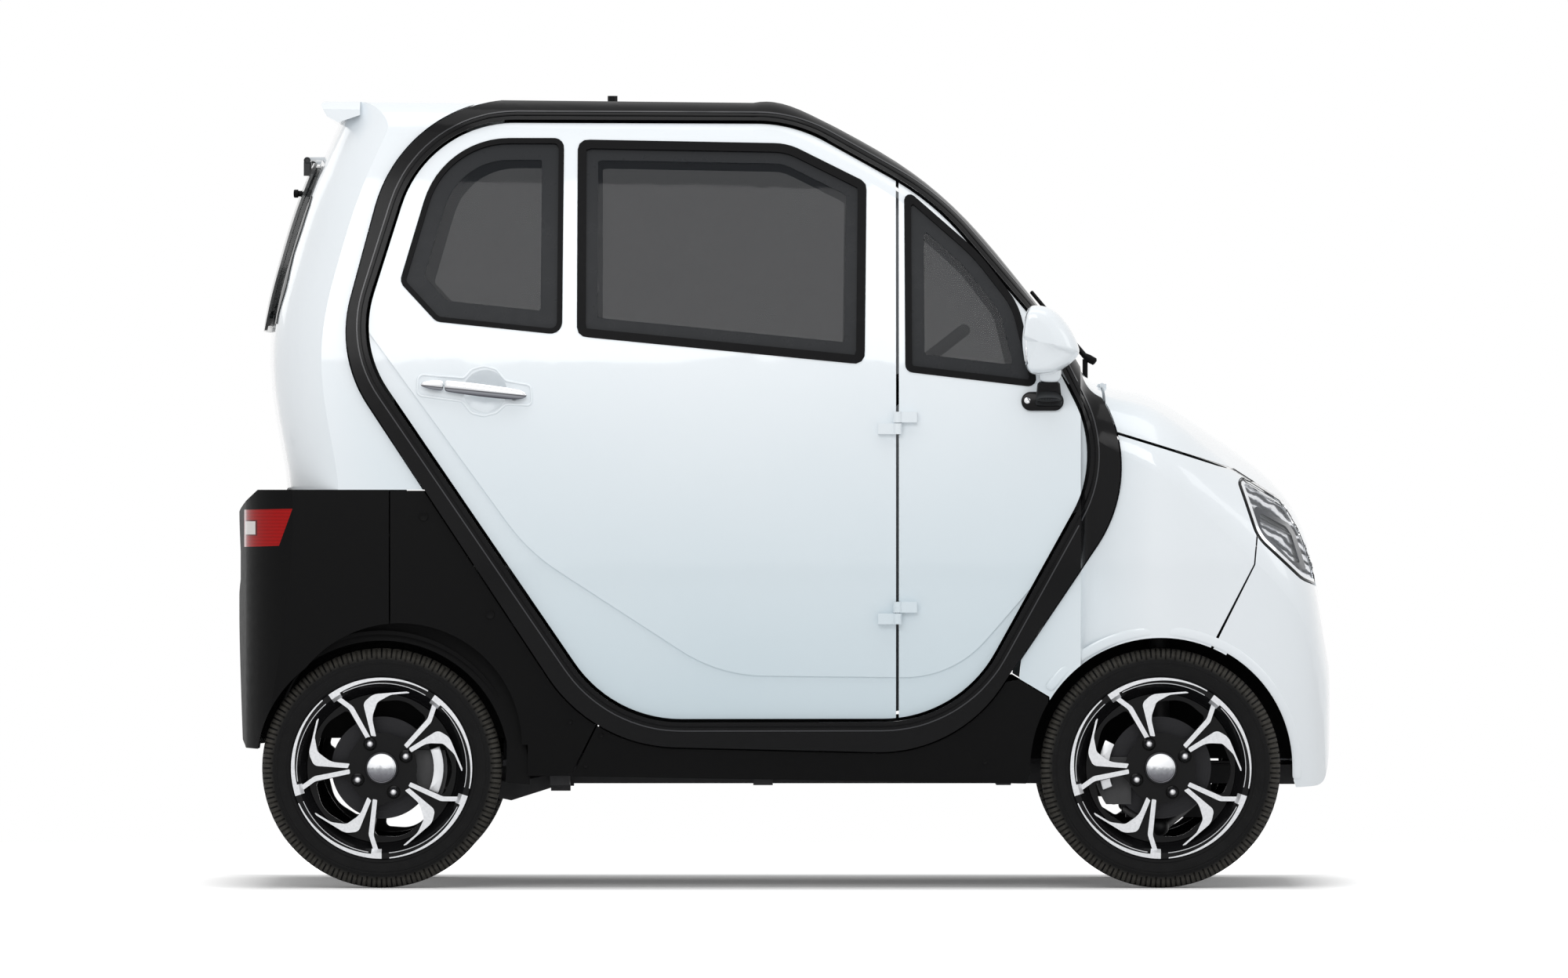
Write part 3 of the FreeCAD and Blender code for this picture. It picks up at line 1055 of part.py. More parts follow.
for k in range(int(mm("bolt_count"))):
    a = math.radians(360 / mm("bolt_count") * k + mm("bolt_turn"))
    half_circle = mm("bolt_circle") / 2
    nuts.append(disc_y(half_circle * math.cos(a), half_circle * math.sin(a), mm("bolt_radius"), face_y - 14, face_y + 2))
cap = disc_y(0, 0, mm("cap_radius"), face_y - 16, face_y + 2)
rim_shape = barrel.fuse([web, hub_block, cap] + nuts + ridges)
brake_y = mm("brake_inset")
brake_shape = disc_y(0, 0, mm("brake_radius"), brake_y, brake_y + mm("brake_thickness"))
brake_shape = brake_shape.fuse(disc_y(0, 0, 62, -14, brake_y + mm("brake_thickness"))).removeSplitter()
brake_shape = brake_shape.cut(hub_block).cut(disc_y(0, 0, 36, brake_y - 2, 60))


def placed(shape, x, y, flip):
    """A wheel piece moved to its corner, turned end for end on the left."""
    copy = shape.copy()
    if flip:
        copy = mirrored(copy)
    copy.translate(Vector(x, y, axle_z))
    return copy


WHEELS = [("front_right", front_x, -wheel_y, False), ("front_left", front_x, wheel_y, True),
          ("rear_right", rear_x, -wheel_y, False), ("rear_left", rear_x, wheel_y, True)]
wheel_parts = []
for label, x, y, flip in WHEELS:
    wheel_parts.append(add("tyre_" + label, placed(tyre_shape, x, y, flip)))
    wheel_parts.append(add("rim_" + label, placed(rim_shape, x, y, flip)))
    wheel_parts.append(add("brake_" + label, placed(brake_shape, x, y, flip)))

doc.recompute()
NODES = [
    side_frames, roof_panel, rear_body, rear_hatch, windscreen, cowl_panel, door_right, door_left, door_glass_right,
    door_glass_left, handle_right, handle_left, front_panels, quarter_glass, tail_lamps, rear_bumper, rear_quarters,
    sills, hood, headlamp_lenses, headlamp_bowls, front_fenders, front_bumper, wheel_liners, floor_pan, bulkhead,
    chassis_frame, battery, seat_bases, seat_cushions, seat_backs, dashboard, steering_wheel, front_suspension,
    knuckle_right, knuckle_left, steering_rack, rack_tube, rear_axle, rear_suspension, mirrors, wiper,
] + wheel_parts
for feature in doc.Objects:
    for state in feature.State:
        if state in ("Invalid", "Error"):
            raise RuntimeError("%s is %s" % (feature.Name, state))
for node in NODES:
    if node.Shape.isNull() or not node.Shape.isValid():
        raise RuntimeError("%s has no valid shape" % node.Name)
    if not node.Shape.Solids:
        raise RuntimeError("%s has no solid" % node.Name)
    node.Shape.exportStep("parts/%s.step" % node.Name)
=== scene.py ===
"""Enclosed mobility scooter: finishes, tyres, trim, lamps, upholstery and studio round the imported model."""
import math

import bpy
import bmesh
from mathutils import Matrix, Vector


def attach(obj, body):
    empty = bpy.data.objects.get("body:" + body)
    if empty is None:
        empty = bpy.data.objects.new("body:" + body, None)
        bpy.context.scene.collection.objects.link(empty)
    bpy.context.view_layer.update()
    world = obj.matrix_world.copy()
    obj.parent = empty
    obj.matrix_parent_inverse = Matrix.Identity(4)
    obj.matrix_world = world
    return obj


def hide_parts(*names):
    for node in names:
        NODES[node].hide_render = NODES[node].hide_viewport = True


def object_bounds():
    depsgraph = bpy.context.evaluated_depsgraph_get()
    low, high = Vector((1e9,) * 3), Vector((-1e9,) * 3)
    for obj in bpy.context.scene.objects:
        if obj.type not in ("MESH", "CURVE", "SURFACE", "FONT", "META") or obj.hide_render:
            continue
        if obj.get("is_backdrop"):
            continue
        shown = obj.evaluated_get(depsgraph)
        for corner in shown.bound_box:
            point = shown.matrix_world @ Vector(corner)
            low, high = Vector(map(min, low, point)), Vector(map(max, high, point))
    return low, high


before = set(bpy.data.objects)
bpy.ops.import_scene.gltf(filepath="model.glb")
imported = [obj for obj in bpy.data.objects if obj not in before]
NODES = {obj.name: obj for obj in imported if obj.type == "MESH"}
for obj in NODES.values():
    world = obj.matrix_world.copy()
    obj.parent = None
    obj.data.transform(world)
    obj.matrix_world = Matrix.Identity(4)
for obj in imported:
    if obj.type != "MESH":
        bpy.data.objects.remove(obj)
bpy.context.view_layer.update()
bpy.ops.object.select_all(action="DESELECT")


# Sockets as values, and finishes made from them.
class Value:
    """A shader output that takes part in sums; each sum adds a Math node."""

    def __init__(self, tree, socket):
        self.tree = tree
        self.socket = socket

    def sum(self, operation, other, swapped=False):
        node = self.tree.nodes.new("ShaderNodeMath")
        node.operation = operation
        for place, item in zip((1, 0) if swapped else (0, 1), (self, other)):
            feed(self.tree, node.inputs[place], item)
        return Value(self.tree, node.outputs[0])

    def __add__(self, other):
        return self.sum("ADD", other)

    def __radd__(self, other):
        return self.sum("ADD", other, True)

    def __sub__(self, other):
        return self.sum("SUBTRACT", other)

    def __rsub__(self, other):
        return self.sum("SUBTRACT", other, True)

    def __mul__(self, other):
        return self.sum("MULTIPLY", other)

    def __rmul__(self, other):
        return self.sum("MULTIPLY", other, True)

    def __truediv__(self, other):
        return self.sum("DIVIDE", other)

    def above(self, edge):
        return self.sum("GREATER_THAN", edge)

    def below(self, edge):
        return self.sum("LESS_THAN", edge)

    def size(self):
        return self.sum("ABSOLUTE", 0.0)

    def root(self):
        return self.sum("SQRT", 0.0)

    def limit(self):
        return self.sum("MINIMUM", 1.0).sum("MAXIMUM", 0.0)

    def bearing(self, forward):
        """Angle in degrees of a place given as up and forward."""
        return self.sum("ARCTAN2", forward) * (180 / math.pi)


def feed(tree, socket, item):
    """Links an output to a socket, or writes a plain value on it."""
    if isinstance(item, Value):
        tree.links.new(item.socket, socket)
    elif isinstance(item, (tuple, list)) and len(item) == 3 and socket.type == "RGBA":
        socket.default_value = (*item, 1.0)
    else:
        socket.default_value = item


class Finish:
    """A material on the standard shader, with patterns on Object coordinates."""

    def __init__(self, name, colour, roughness, **settings):
        self.material = bpy.data.materials.new(name)
        self.material.use_nodes = True
        self.tree = self.material.node_tree
        self.shader = self.tree.nodes["Principled BSDF"]
        self.set("Base Color", colour)
        self.set("Roughness", roughness)
        for key, value in settings.items():
            self.set(key.replace("_", " "), value)
        self.material.diffuse_color = (*colour, 1.0)

    def set(self, socket, value):
        feed(self.tree, self.shader.inputs[socket], value)

    def node(self, kind, settings=None, output=0, **values):
        made = self.tree.nodes.new("ShaderNode" + kind)
        for key, value in (settings or {}).items():
            if key == "stops":
                ramp = made.color_ramp
                ramp.elements.remove(ramp.elements[1])
                ramp.elements[0].position = value[0][0]
                ramp.elements[0].color = (*value[0][1], 1.0)
                for place, colour in value[1:]:
                    ramp.elements.new(place).color = (*colour, 1.0)
            else:
                setattr(made, key, value)
        for key, value in values.items():
            feed(self.tree, made.inputs[key.replace("_", " ")], value)
        return Value(self.tree, made.outputs[output])

    def place(self):
        return self.node("TexCoord", output=3)

    def axes(self):
        made = self.tree.nodes.new("ShaderNodeSeparateXYZ")
        feed(self.tree, made.inputs[0], self.place())
        return [Value(self.tree, out) for out in made.outputs]

    def noise(self, scale, detail=2.0, roughness=0.5):
        return self.node("TexNoise", Vector=self.place(), Scale=scale, Detail=detail, Roughness=roughness)

    def mix(self, factor, low, high):
        made = self.tree.nodes.new("ShaderNodeMix")
        made.data_type = "RGBA"
        feed(self.tree, made.inputs[0], factor)
        feed(self.tree, made.inputs[6], low)
        feed(self.tree, made.inputs[7], high)
        return Value(self.tree, made.outputs[2])

    def bump(self, height, strength, distance):
        self.set("Normal", self.node("Bump", Height=height, Strength=strength, Distance=distance))

    def mottle(self, scale, detail, low, high):
        """Roughness that wanders between two values."""
        self.set("Roughness", self.noise(scale, detail) * (high - low) + low)

    def grain(self, scale, detail, strength, distance):
        """Fine relief from noise."""
        self.bump(self.noise(scale, detail), strength, distance)

    def wheel_axes(self):
        """Side coordinate, then forward, up and distance from the nearer wheel's axle."""
        x, y, z = self.axes()
        forward = x - REAR_AXLE_X - x.above(0.0) * (FRONT_AXLE_X - REAR_AXLE_X)
        up = z - AXLE_Z
        return y, forward, up, (forward * forward + up * up).root()


MM = 0.001
FRONT_AXLE_X = 0.777
REAR_AXLE_X = -0.823
AXLE_Z = 0.246
WHEEL_Y = 0.475


def white_paint(name):
    """White lacquer with painted shade, darker and bluer towards the sills and brighter high up and at the ends;
    also returns its shading colour and its axes.
    """
    made = Finish(name, (0.80, 0.86, 0.90), 0.32, Coat_Weight=1.0, Coat_Roughness=0.04)
    made.mottle(14, 3, 0.27, 0.38)
    axes = made.axes()
    # Painted shade: the colour runs from a darker, bluer tone low down and in the middle to a brighter one high
    # up and at the front and rear ends.
    height = (axes[2] - 0.25) * 1.1
    ends = ((axes[0] + 0.1).size() - 0.42) * 2.2
    height = height.sum("MAXIMUM", ends).limit()
    shade = made.mix(height + (made.noise(2.2, 2) - 0.5) * 0.2, (0.57, 0.685, 0.745), (0.815, 0.86, 0.895))
    made.set("Base Color", shade)
    made.grain(420, 1, 0.03, 0.0005)
    return made, shade, axes


paint = white_paint("white_paint")[0]

# The nose's slot and intake pockets are painted near-black and left uncoated, as painted shade for the depth of
# the openings.
nose_paint, shade, (x, y, z) = white_paint("nose_paint")
row = (z - 0.590) / 0.025
in_slot = row.sum("FRACT", 0.0).below(0.56) * row.above(0.0) * row.below(5.0)
in_slot = in_slot * (y.size() + row.sum("FLOOR", 0.0) * 0.01).below(0.2299)
in_intake = z.above(0.3452) * z.below(0.4298) * y.size().below(0.2498)
dark = in_slot.sum("MAXIMUM", in_intake) * x.above(0.9)
nose_paint.set("Base Color", nose_paint.mix(dark, shade, (0.012, 0.012, 0.013)))
nose_paint.set("Coat Weight", 1.0 - dark)

gloss_black = Finish("gloss_black_plastic", (0.0045, 0.0045, 0.005), 0.2, Specular_IOR_Level=0.11,
                     Coat_Weight=0.07, Coat_Roughness=0.08)
gloss_black.mottle(40, 2, 0.12, 0.24)
gloss_black.grain(300, 1, 0.03, 0.0004)

satin_black = Finish("satin_black_plastic", (0.0045, 0.0045, 0.0047), 0.5, Specular_IOR_Level=0.07)
satin_black.mottle(60, 3, 0.42, 0.58)
satin_black.grain(1500, 2, 0.12, 0.0004)

frit = Finish("glass_band", (0.022, 0.0235, 0.026), 0.3, Specular_IOR_Level=0.1)
frit.mottle(50, 2, 0.22, 0.36)
# The bead black is lighter than the gloss black: a painted highlight along the ridge.
highlight_bead = Finish("trim_bead_highlight", (0.030, 0.031, 0.035), 0.18, Specular_IOR_Level=0.5)
highlight_bead.mottle(30, 2, 0.12, 0.24)

rubber = Finish("seal_rubber", (0.004, 0.004, 0.0045), 0.42, Specular_IOR_Level=0.08)
rubber.mottle(90, 3, 0.35, 0.5)
rubber.grain(900, 2, 0.08, 0.0003)

frame_steel = Finish("chassis_steel", (0.02, 0.02, 0.022), 0.5, Metallic=0.3)
frame_steel.mottle(30, 4, 0.4, 0.65)
frame_steel.grain(240, 3, 0.15, 0.0006)

cast = Finish("cast_metal", (0.07, 0.07, 0.072), 0.55, Metallic=0.7)
cast.mottle(50, 4, 0.45, 0.7)
cast.grain(380, 4, 0.3, 0.0008)

steel = Finish("brake_steel", (0.45, 0.45, 0.45), 0.3, Metallic=1.0)
steel.mottle(120, 3, 0.22, 0.4)

brake_disc = Finish("brake_disc", (0.03, 0.03, 0.032), 0.3, Metallic=1.0)
radius = brake_disc.wheel_axes()[3]
rings = brake_disc.node("TexNoise", {"noise_dimensions": "1D"}, W=radius * 1400.0, Detail=4.0)
brake_disc.set("Roughness", rings * 0.3 + 0.15)
brake_disc.bump(rings, 0.2, 0.0004)

chrome = Finish("chrome", (0.82, 0.83, 0.85), 0.06, Metallic=1.0)
chrome.mottle(25, 3, 0.04, 0.1)

smoke_chrome = Finish("smoked_reflector", (0.05, 0.052, 0.06), 0.14, Metallic=1.0)
smoke_chrome.mottle(60, 3, 0.1, 0.2)

machined = Finish("machined_alloy", (0.78, 0.79, 0.81), 0.3, Metallic=1.0)
machined.mottle(300, 3, 0.26, 0.42)
machined.grain(900, 2, 0.06, 0.0003)

# Wheel finish: black lacquer, with bare turned metal on the raised ridges and on the lip between the arms.
SPOKE_STEP = 72.0
RIDGE_Y = 0.5285
NUT_Y = 0.517
NUT_CIRCLE = 0.055
NUT_RADIUS = 0.014
CAP_RADIUS = 0.0348
wheel_alloy = Finish("wheel_alloy", (0.005, 0.005, 0.0055), 0.2, Specular_IOR_Level=0.16)
y, u, v, radius = wheel_alloy.wheel_axes()
angle = v.bearing(u) + 720.0
spoke = (angle - 59.0).sum("MODULO", SPOKE_STEP)
arm_end = (angle - 119.0).sum("MODULO", SPOKE_STEP).below(7.0)
raised = y.size().above(RIDGE_Y)
ridge = raised * radius.below(0.1655)
lip = raised * (radius - (0.1838 - spoke * 0.00011)).above(0.0) * spoke.below(64.0)
line = raised * radius.above(0.1736) * radius.below(0.1752) * spoke.below(58.0) * 0.8
joint_mask = raised * radius.above(0.165) * arm_end
bare = ridge.sum("MAXIMUM", lip).sum("MAXIMUM", joint_mask).sum("MAXIMUM", line)
turning = wheel_alloy.node("TexNoise", {"noise_dimensions": "1D"}, W=radius * 900.0, Detail=3.0)
grain = wheel_alloy.noise(260, 4)
bright = wheel_alloy.mix(grain, (0.58, 0.59, 0.61), (0.86, 0.87, 0.89))
# Painted shading on the nuts, bright at their tops and falling off to dark round them, and a painted reflection
# on the cap of a bright sky above a dark lower half.
quarter = ((v.bearing(u) + 739.0).sum("MODULO", 90.0) - 45.0) * (math.pi / 180)
across = radius * quarter.sum("COSINE", 0.0) - NUT_CIRCLE
along = radius * quarter.sum("SINE", 0.0)
off = (across * across + along * along).root() / NUT_RADIUS
nut_zone = off.below(1.05) * y.size().above(NUT_Y)
nut_painted_shading = wheel_alloy.node("ValToRGB", {"stops": [
    (0.0, (0.9, 0.9, 0.92)), (0.2, (0.7, 0.7, 0.72)), (0.42, (0.22, 0.22, 0.23)), (0.56, (0.06, 0.06, 0.065)),
    (0.75, (0.008, 0.008, 0.008))]}, Fac=off)
cap_zone = radius.below(CAP_RADIUS) * y.size().above(NUT_Y)
tilt = v / 0.068 + 0.5 + (wheel_alloy.noise(130, 4) - 0.5) * 0.2
cap_painted_reflection = wheel_alloy.node("ValToRGB", {"stops": [
    (0.0, (0.10, 0.10, 0.11)), (0.3, (0.2, 0.2, 0.22)), (0.46, (0.34, 0.35, 0.37)),
    (0.56, (0.84, 0.85, 0.87)), (1.0, (0.93, 0.94, 0.96))]}, Fac=tilt)
# The cap's outer edge is painted dark, as painted shade on its turned edge.
cap_painted_reflection = wheel_alloy.mix(radius.above(0.0295), cap_painted_reflection, (0.03, 0.03, 0.032))
cap_edge = radius.above(CAP_RADIUS) * radius.below(0.037) * y.size().above(NUT_Y)
tone = wheel_alloy.mix(bare, (0.005, 0.005, 0.0055), bright)
tone = wheel_alloy.mix(cap_edge, tone, (0.5, 0.5, 0.52))
tone = wheel_alloy.mix(nut_zone, tone, nut_painted_shading)
wheel_alloy.set("Base Color", wheel_alloy.mix(cap_zone, tone, cap_painted_reflection))
wheel_alloy.set("Metallic", bare.sum("MAXIMUM", nut_zone).sum("MAXIMUM", cap_zone).sum("MAXIMUM", cap_edge))
wheel_alloy.set("Roughness", bare * (turning * 0.16 + 0.12) + 0.16)
wheel_alloy.bump(turning * bare, 0.12, 0.0004)

# Chrome of the door pulls with a painted reflection across their height: grey lower half, a dark line below the
# middle and a bright upper half.
pull_chrome = Finish("pull_chrome", (0.82, 0.83, 0.85), 0.1, Metallic=1.0)
x, y, z = pull_chrome.axes()
across = (z - 1.0335 + (x + 0.742) * 0.101) / 0.028 + 0.5
pull_chrome.set("Base Color", pull_chrome.node("ValToRGB", {"stops": [
    (0.0, (0.02, 0.02, 0.025)), (0.15, (0.13, 0.13, 0.15)), (0.36, (0.34, 0.35, 0.38)),
    (0.45, (0.06, 0.06, 0.07)), (0.52, (0.8, 0.81, 0.83)), (1.0, (0.93, 0.94, 0.95))]}, Fac=across))
pull_chrome.mottle(25, 3, 0.07, 0.14)

grey_plastic = Finish("cabin_plastic", (0.05, 0.052, 0.056), 0.6)
grey_plastic.mottle(80, 3, 0.52, 0.68)
grey_plastic.grain(1100, 2, 0.2, 0.0005)

carpet = Finish("floor_mat", (0.03, 0.03, 0.033), 0.95)
carpet.grain(1300, 4, 0.6, 0.002)

seat_leather = Finish("seat_leather", (0.022, 0.022, 0.024), 0.5)
seat_leather.mottle(35, 3, 0.42, 0.58)
cells = seat_leather.node("TexVoronoi", {"feature": "F1"}, Vector=seat_leather.place(), Scale=480.0)
seat_leather.bump(cells, 0.22, 0.0006)

tinted = Finish("tinted_glass", (0.010, 0.012, 0.015), 0.03, Alpha=0.55, Specular_IOR_Level=0.2)
lid_glass = Finish("lid_glass", (0.012, 0.014, 0.015), 0.03, Alpha=0.86, Specular_IOR_Level=0.35)
screen = Finish("windscreen_glass", (0.014, 0.017, 0.019), 0.03, Alpha=0.42, Specular_IOR_Level=0.4)
clear = Finish("clear_lens", (0.75, 0.78, 0.8), 0.03, Alpha=0.08, Coat_Weight=0.3, Coat_Roughness=0.02)
lamp_bowl = Finish("lamp_bowl", (0.8, 0.8, 0.82), 0.08, Metallic=1.0)
x, y, z = lamp_bowl.axes()
# Painted reflections: dark and bright stripes across the reflector's facets.
facet_painted_reflections = ((x * 0.55 + z * 0.83 + lamp_bowl.noise(26, 2) * 0.03) * 420.0).sum("SINE", 0.0) * 0.5 + 0.5
facet_painted_reflections = facet_painted_reflections * lamp_bowl.noise(34, 3, 0.7) * 2.0
lamp_bowl.set("Base Color", lamp_bowl.node("ValToRGB", {"stops": [
    (0.0, (0.02, 0.021, 0.025)), (0.32, (0.10, 0.105, 0.12)), (0.5, (0.5, 0.51, 0.55)),
    (0.75, (0.86, 0.87, 0.9))]}, Fac=facet_painted_reflections))
mirror_chrome = Finish("reflector", (0.85, 0.86, 0.88), 0.08, Metallic=1.0)
red_lens = Finish("red_lens", (0.30, 0.001, 0.001), 0.12, Specular_IOR_Level=0.12, Coat_Weight=0.05,
                  Coat_Roughness=0.04)
x, y, z = red_lens.axes()
insert = x.below(-1.083) * z.above(0.726) * z.below(0.753) * y.size().above(0.43)
edge = (x.below(-1.079) * z.above(0.7235) * z.below(0.7555) * y.size().above(0.425)) - insert
flutes = (z * 900.0).sum("SINE", 0.0) * 0.5 + 0.5
lens_red = red_lens.mix(flutes * 0.5, (0.36, 0.002, 0.002), (0.2, 0.001, 0.001))
lens_red = red_lens.mix(edge, lens_red, (0.10, 0.001, 0.001))
red_lens.set("Base Color", red_lens.mix(insert, lens_red, (0.72, 0.70, 0.68)))
red_lens.bump(flutes, 0.15, 0.0006)

tread_rubber = Finish("tyre_rubber", (0.011, 0.011, 0.011), 0.72, Specular_IOR_Level=0.12)
tread_rubber.mottle(45, 4, 0.6, 0.85)
u, v, reach = tread_rubber.wheel_axes()[1:]
worn = ((reach - 0.222) * 90.0).limit() * (tread_rubber.noise(60, 4) * 0.7 + 0.5)
turn = (v.bearing(u) + 722.5) / 5.0
notch = (turn.sum("FRACT", 0.0) - 0.5).size().below(0.09) * reach.above(0.227)
worn = worn * (1.0 - notch)
# The grooves between the shoulder blocks are painted darker, as painted shade; the worn grey stays off them.
rubber_with_groove_shade = tread_rubber.mix(notch, (0.0075, 0.0075, 0.0078), (0.001, 0.001, 0.001))
tread_rubber.set("Base Color", tread_rubber.mix(worn, rubber_with_groove_shade, (0.052, 0.049, 0.043)))
rings = ((reach * 2600.0).sum("SINE", 0.0) * reach.below(0.222)) * 0.5
tread_rubber.bump(tread_rubber.noise(700, 3) + rings, 0.25, 0.0006)


def coat(finish, *names):
    """Gives CAD nodes a finish."""
    for name in names:
        slots = NODES[name].material_slots
        for place in range(len(slots)):
            slots[place].material = finish.material


coat(paint, "rear_body", "cowl_panel", "door_right", "door_left", "front_side_panels", "hood",
     "front_fenders", "mirrors")
coat(nose_paint, "front_bumper")
coat(gloss_black, "side_frames", "roof_panel")
coat(satin_black, "rear_bumper", "rear_quarters", "sills", "wheel_liners", "steering_wheel", "wiper")
coat(lid_glass, "rear_hatch")
coat(tinted, "door_glass_right", "door_glass_left", "quarter_glass")
coat(screen, "windscreen")
coat(chrome, "door_handle_right", "door_handle_left")
coat(clear, "headlamp_lenses")
coat(lamp_bowl, "headlamp_bowls")
coat(red_lens, "tail_lamps")
coat(frame_steel, "chassis_frame", "front_suspension", "rack_housing", "rear_suspension")
coat(cast, "knuckle_right", "knuckle_left", "rear_axle", "battery_block")
coat(steel, "steering_rack")
coat(grey_plastic, "seat_bases", "dashboard", "bulkhead")
coat(carpet, "floor_pan")
coat(seat_leather, "seat_cushions", "seat_backs")
CORNERS = ("front_right", "front_left", "rear_right", "rear_left")
for corner in CORNERS:
    coat(wheel_alloy, "rim_" + corner)
    coat(brake_disc, "brake_" + corner)
    coat(tread_rubber, "tyre_" + corner)


# Modelling helpers.
def begin():
    """Object mode with nothing selected, so that an operator acts on one piece alone."""
    if bpy.context.object and bpy.context.object.mode != "OBJECT":
        bpy.ops.object.mode_set(mode="OBJECT")
    bpy.ops.object.select_all(action="DESELECT")


def edit_all():
    """Edit mode with everything selected."""
    bpy.ops.object.mode_set(mode="EDIT")
    bpy.ops.mesh.select_all(action="SELECT")


def extrude(step):
    """Extrudes what is selected by a step."""
    bpy.ops.mesh.extrude_region_move(TRANSFORM_OT_translate={"value": step})


def chain(name, points):
    """An edge chain through a few points, drawn by extruding one vertex from the next."""
    begin()
    bpy.ops.mesh.primitive_plane_add(size=0.001, location=(0, 0, 0))
    piece = bpy.context.object
    piece.name = name
    bpy.ops.object.mode_set(mode="EDIT")
    bpy.ops.mesh.select_mode(type="VERT")
    bpy.ops.mesh.select_all(action="SELECT")
    bpy.ops.mesh.merge(type="CENTER")
    bpy.ops.transform.translate(value=points[0])
    for here, there in zip(points, points[1:]):
        extrude(Vector(there) - Vector(here))
    return piece


def faces_where(piece, test):
    """Selects, in edit mode, the faces that a test of centre and normal accepts."""
    mesh = bmesh.from_edit_mesh(piece.data)
    bpy.ops.mesh.select_mode(type="FACE")
    bpy.ops.mesh.select_all(action="DESELECT")
    for face in mesh.faces:
        if test(face.calc_center_median(), face.normal):
            face.select_set(True)
    bmesh.update_edit_mesh(piece.data)


def close_up():
    """Merges doubles and turns the faces outwards, in edit mode."""
    bpy.ops.mesh.select_all(action="SELECT")
    bpy.ops.mesh.remove_doubles(threshold=0.00002)
    bpy.ops.mesh.normals_make_consistent(inside=False)


def leave(piece, finish, body, slot, smooth=35):
    """Ends a piece: object mode, smooth shading, finish and the body it rides on; the slot is not used."""
    begin()
    piece.select_set(True)
    bpy.context.view_layer.objects.active = piece
    bpy.ops.object.transform_apply(location=True, rotation=True, scale=True)
    if smooth:
        bpy.ops.object.shade_smooth_by_angle(angle=math.radians(smooth))
    piece.data.materials.clear()
    piece.data.materials.append(finish.material)
    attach(piece, body)
    return piece


def apply_modifier(piece, kind, **settings):
    """Adds a modifier and applies it."""
    modifier = piece.modifiers.new(kind.title(), kind)
    for key, value in settings.items():
        setattr(modifier, key, value)
    bpy.context.view_layer.objects.active = piece
    bpy.ops.object.modifier_apply(modifier=modifier.name)


def copy_of(piece, name, matrix):
    """A copy with its own mesh, moved by a matrix in its mesh."""
    made = piece.copy()
    made.data = piece.data.copy()
    made.name = name
    made.parent = None
    bpy.context.scene.collection.objects.link(made)
    made.data.transform(matrix)
    if matrix.determinant() < 0:
        made.data.flip_normals()
    return made


HALF_WIDTH = 575 * MM
WIDEST = 760 * MM
SIDE_RADIUS = 2860 * MM


def side_y(z, depth=0.0):
    """Half width of the body's barrel side at a height, less a depth below the surface."""
    return HALF_WIDTH - SIDE_RADIUS + math.sqrt((SIDE_RADIUS - depth) ** 2 - (z - WIDEST) ** 2)


def evenly(line, count):
    """Points evenly along a closed line."""
    line = line + line[:1]
    lengths = [0.0]
    for a, b in zip(line, line[1:]):
        lengths.append(lengths[-1] + (b - a).length)
    result = []
    k = 0
    for i in range(count):
        want = lengths[-1] * i / count
        while lengths[k + 1] < want:
            k += 1
        share = (want - lengths[k]) / max(lengths[k + 1] - lengths[k], 1e-9)
        result.append(line[k] + (line[k + 1] - line[k]) * share)
    return result


def outline(corners, count, grow=0.0):
    """Points evenly along a rounded outline in side view; corners are x, z, radius in mm."""
    first = [Vector((x, z)) for x, z, radius in corners]
    total = len(first)
    round_way = winding(first)
    places = []
    radii = []
    for i, (x, z, radius) in enumerate(corners):
        back = (first[i - 1] - first[i]).normalized()
        ahead = (first[(i + 1) % total] - first[i]).normalized()
        half = math.acos(max(-1, min(1, back.dot(ahead)))) / 2
        side = 1 if (ahead.x * back.y - ahead.y * back.x) * round_way > 0 else -1
        places.append(first[i] - (back + ahead).normalized() * (side * grow / math.sin(half)))
        radii.append(max(radius + side * grow, 3.0))
    runs = []
    for i, radius in enumerate(radii):
        back = (places[i - 1] - places[i]).normalized()
        ahead = (places[(i + 1) % total] - places[i]).normalized()
        half = math.acos(max(-1, min(1, back.dot(ahead)))) / 2
        reach = radius / math.tan(half)
        centre = places[i] + (back + ahead).normalized() * (radius / math.sin(half))
        start = places[i] + back * reach
        end = places[i] + ahead * reach
        runs.append((start, end, centre, radius))
    dense = []
    for start, end, centre, radius in runs:
        a = start - centre
        b = end - centre
        sweep = math.atan2(a.x * b.y - a.y * b.x, a.dot(b))
        for k in range(13):
            turn = sweep * k / 12
            c, s = math.cos(turn), math.sin(turn)
            dense.append(centre + Vector((a.x * c - a.y * s, a.x * s + a.y * c)))
    return [point * MM for point in evenly(dense, count)]


def winding(places):
    """Positive where a closed line runs counterclockwise."""
    return sum(a.x * b.y - b.x * a.y for a, b in zip(places, places[1:] + places[:1]))


def closed_line(points, fill="NOTHING"):
    """A closed line, or one face, through points."""
    bpy.ops.object.select_all(action="DESELECT")
    bpy.ops.mesh.primitive_circle_add(vertices=len(points), radius=0.1, fill_type=fill)
    line = bpy.context.object
    for vertex, point in zip(line.data.vertices, points):
        vertex.co = point
    return line


def turn_sheet(piece, axis):
    """Makes an open sheet's faces agree, and turns them against an axis of space."""
    edit_all()
    bpy.ops.mesh.normals_make_consistent(inside=False)
    mesh = bmesh.from_edit_mesh(piece.data)
    if sum(face.normal[axis] for face in mesh.faces) > 0:
        bpy.ops.mesh.flip_normals()
    bpy.ops.object.mode_set(mode="OBJECT")


def ring(name, corners, grows, place, thickness, count):
    """A band between two outlines, laid where place puts each point and given a thickness inwards."""
    begin()
    piece = together(name, [closed_line([place(p) for p in outline(corners, count, grow)]) for grow in grows])
    edit_all()
    bpy.ops.mesh.bridge_edge_loops()
    turn_sheet(piece, 1)
    apply_modifier(piece, "SOLIDIFY", thickness=thickness, offset=-1)
    return piece


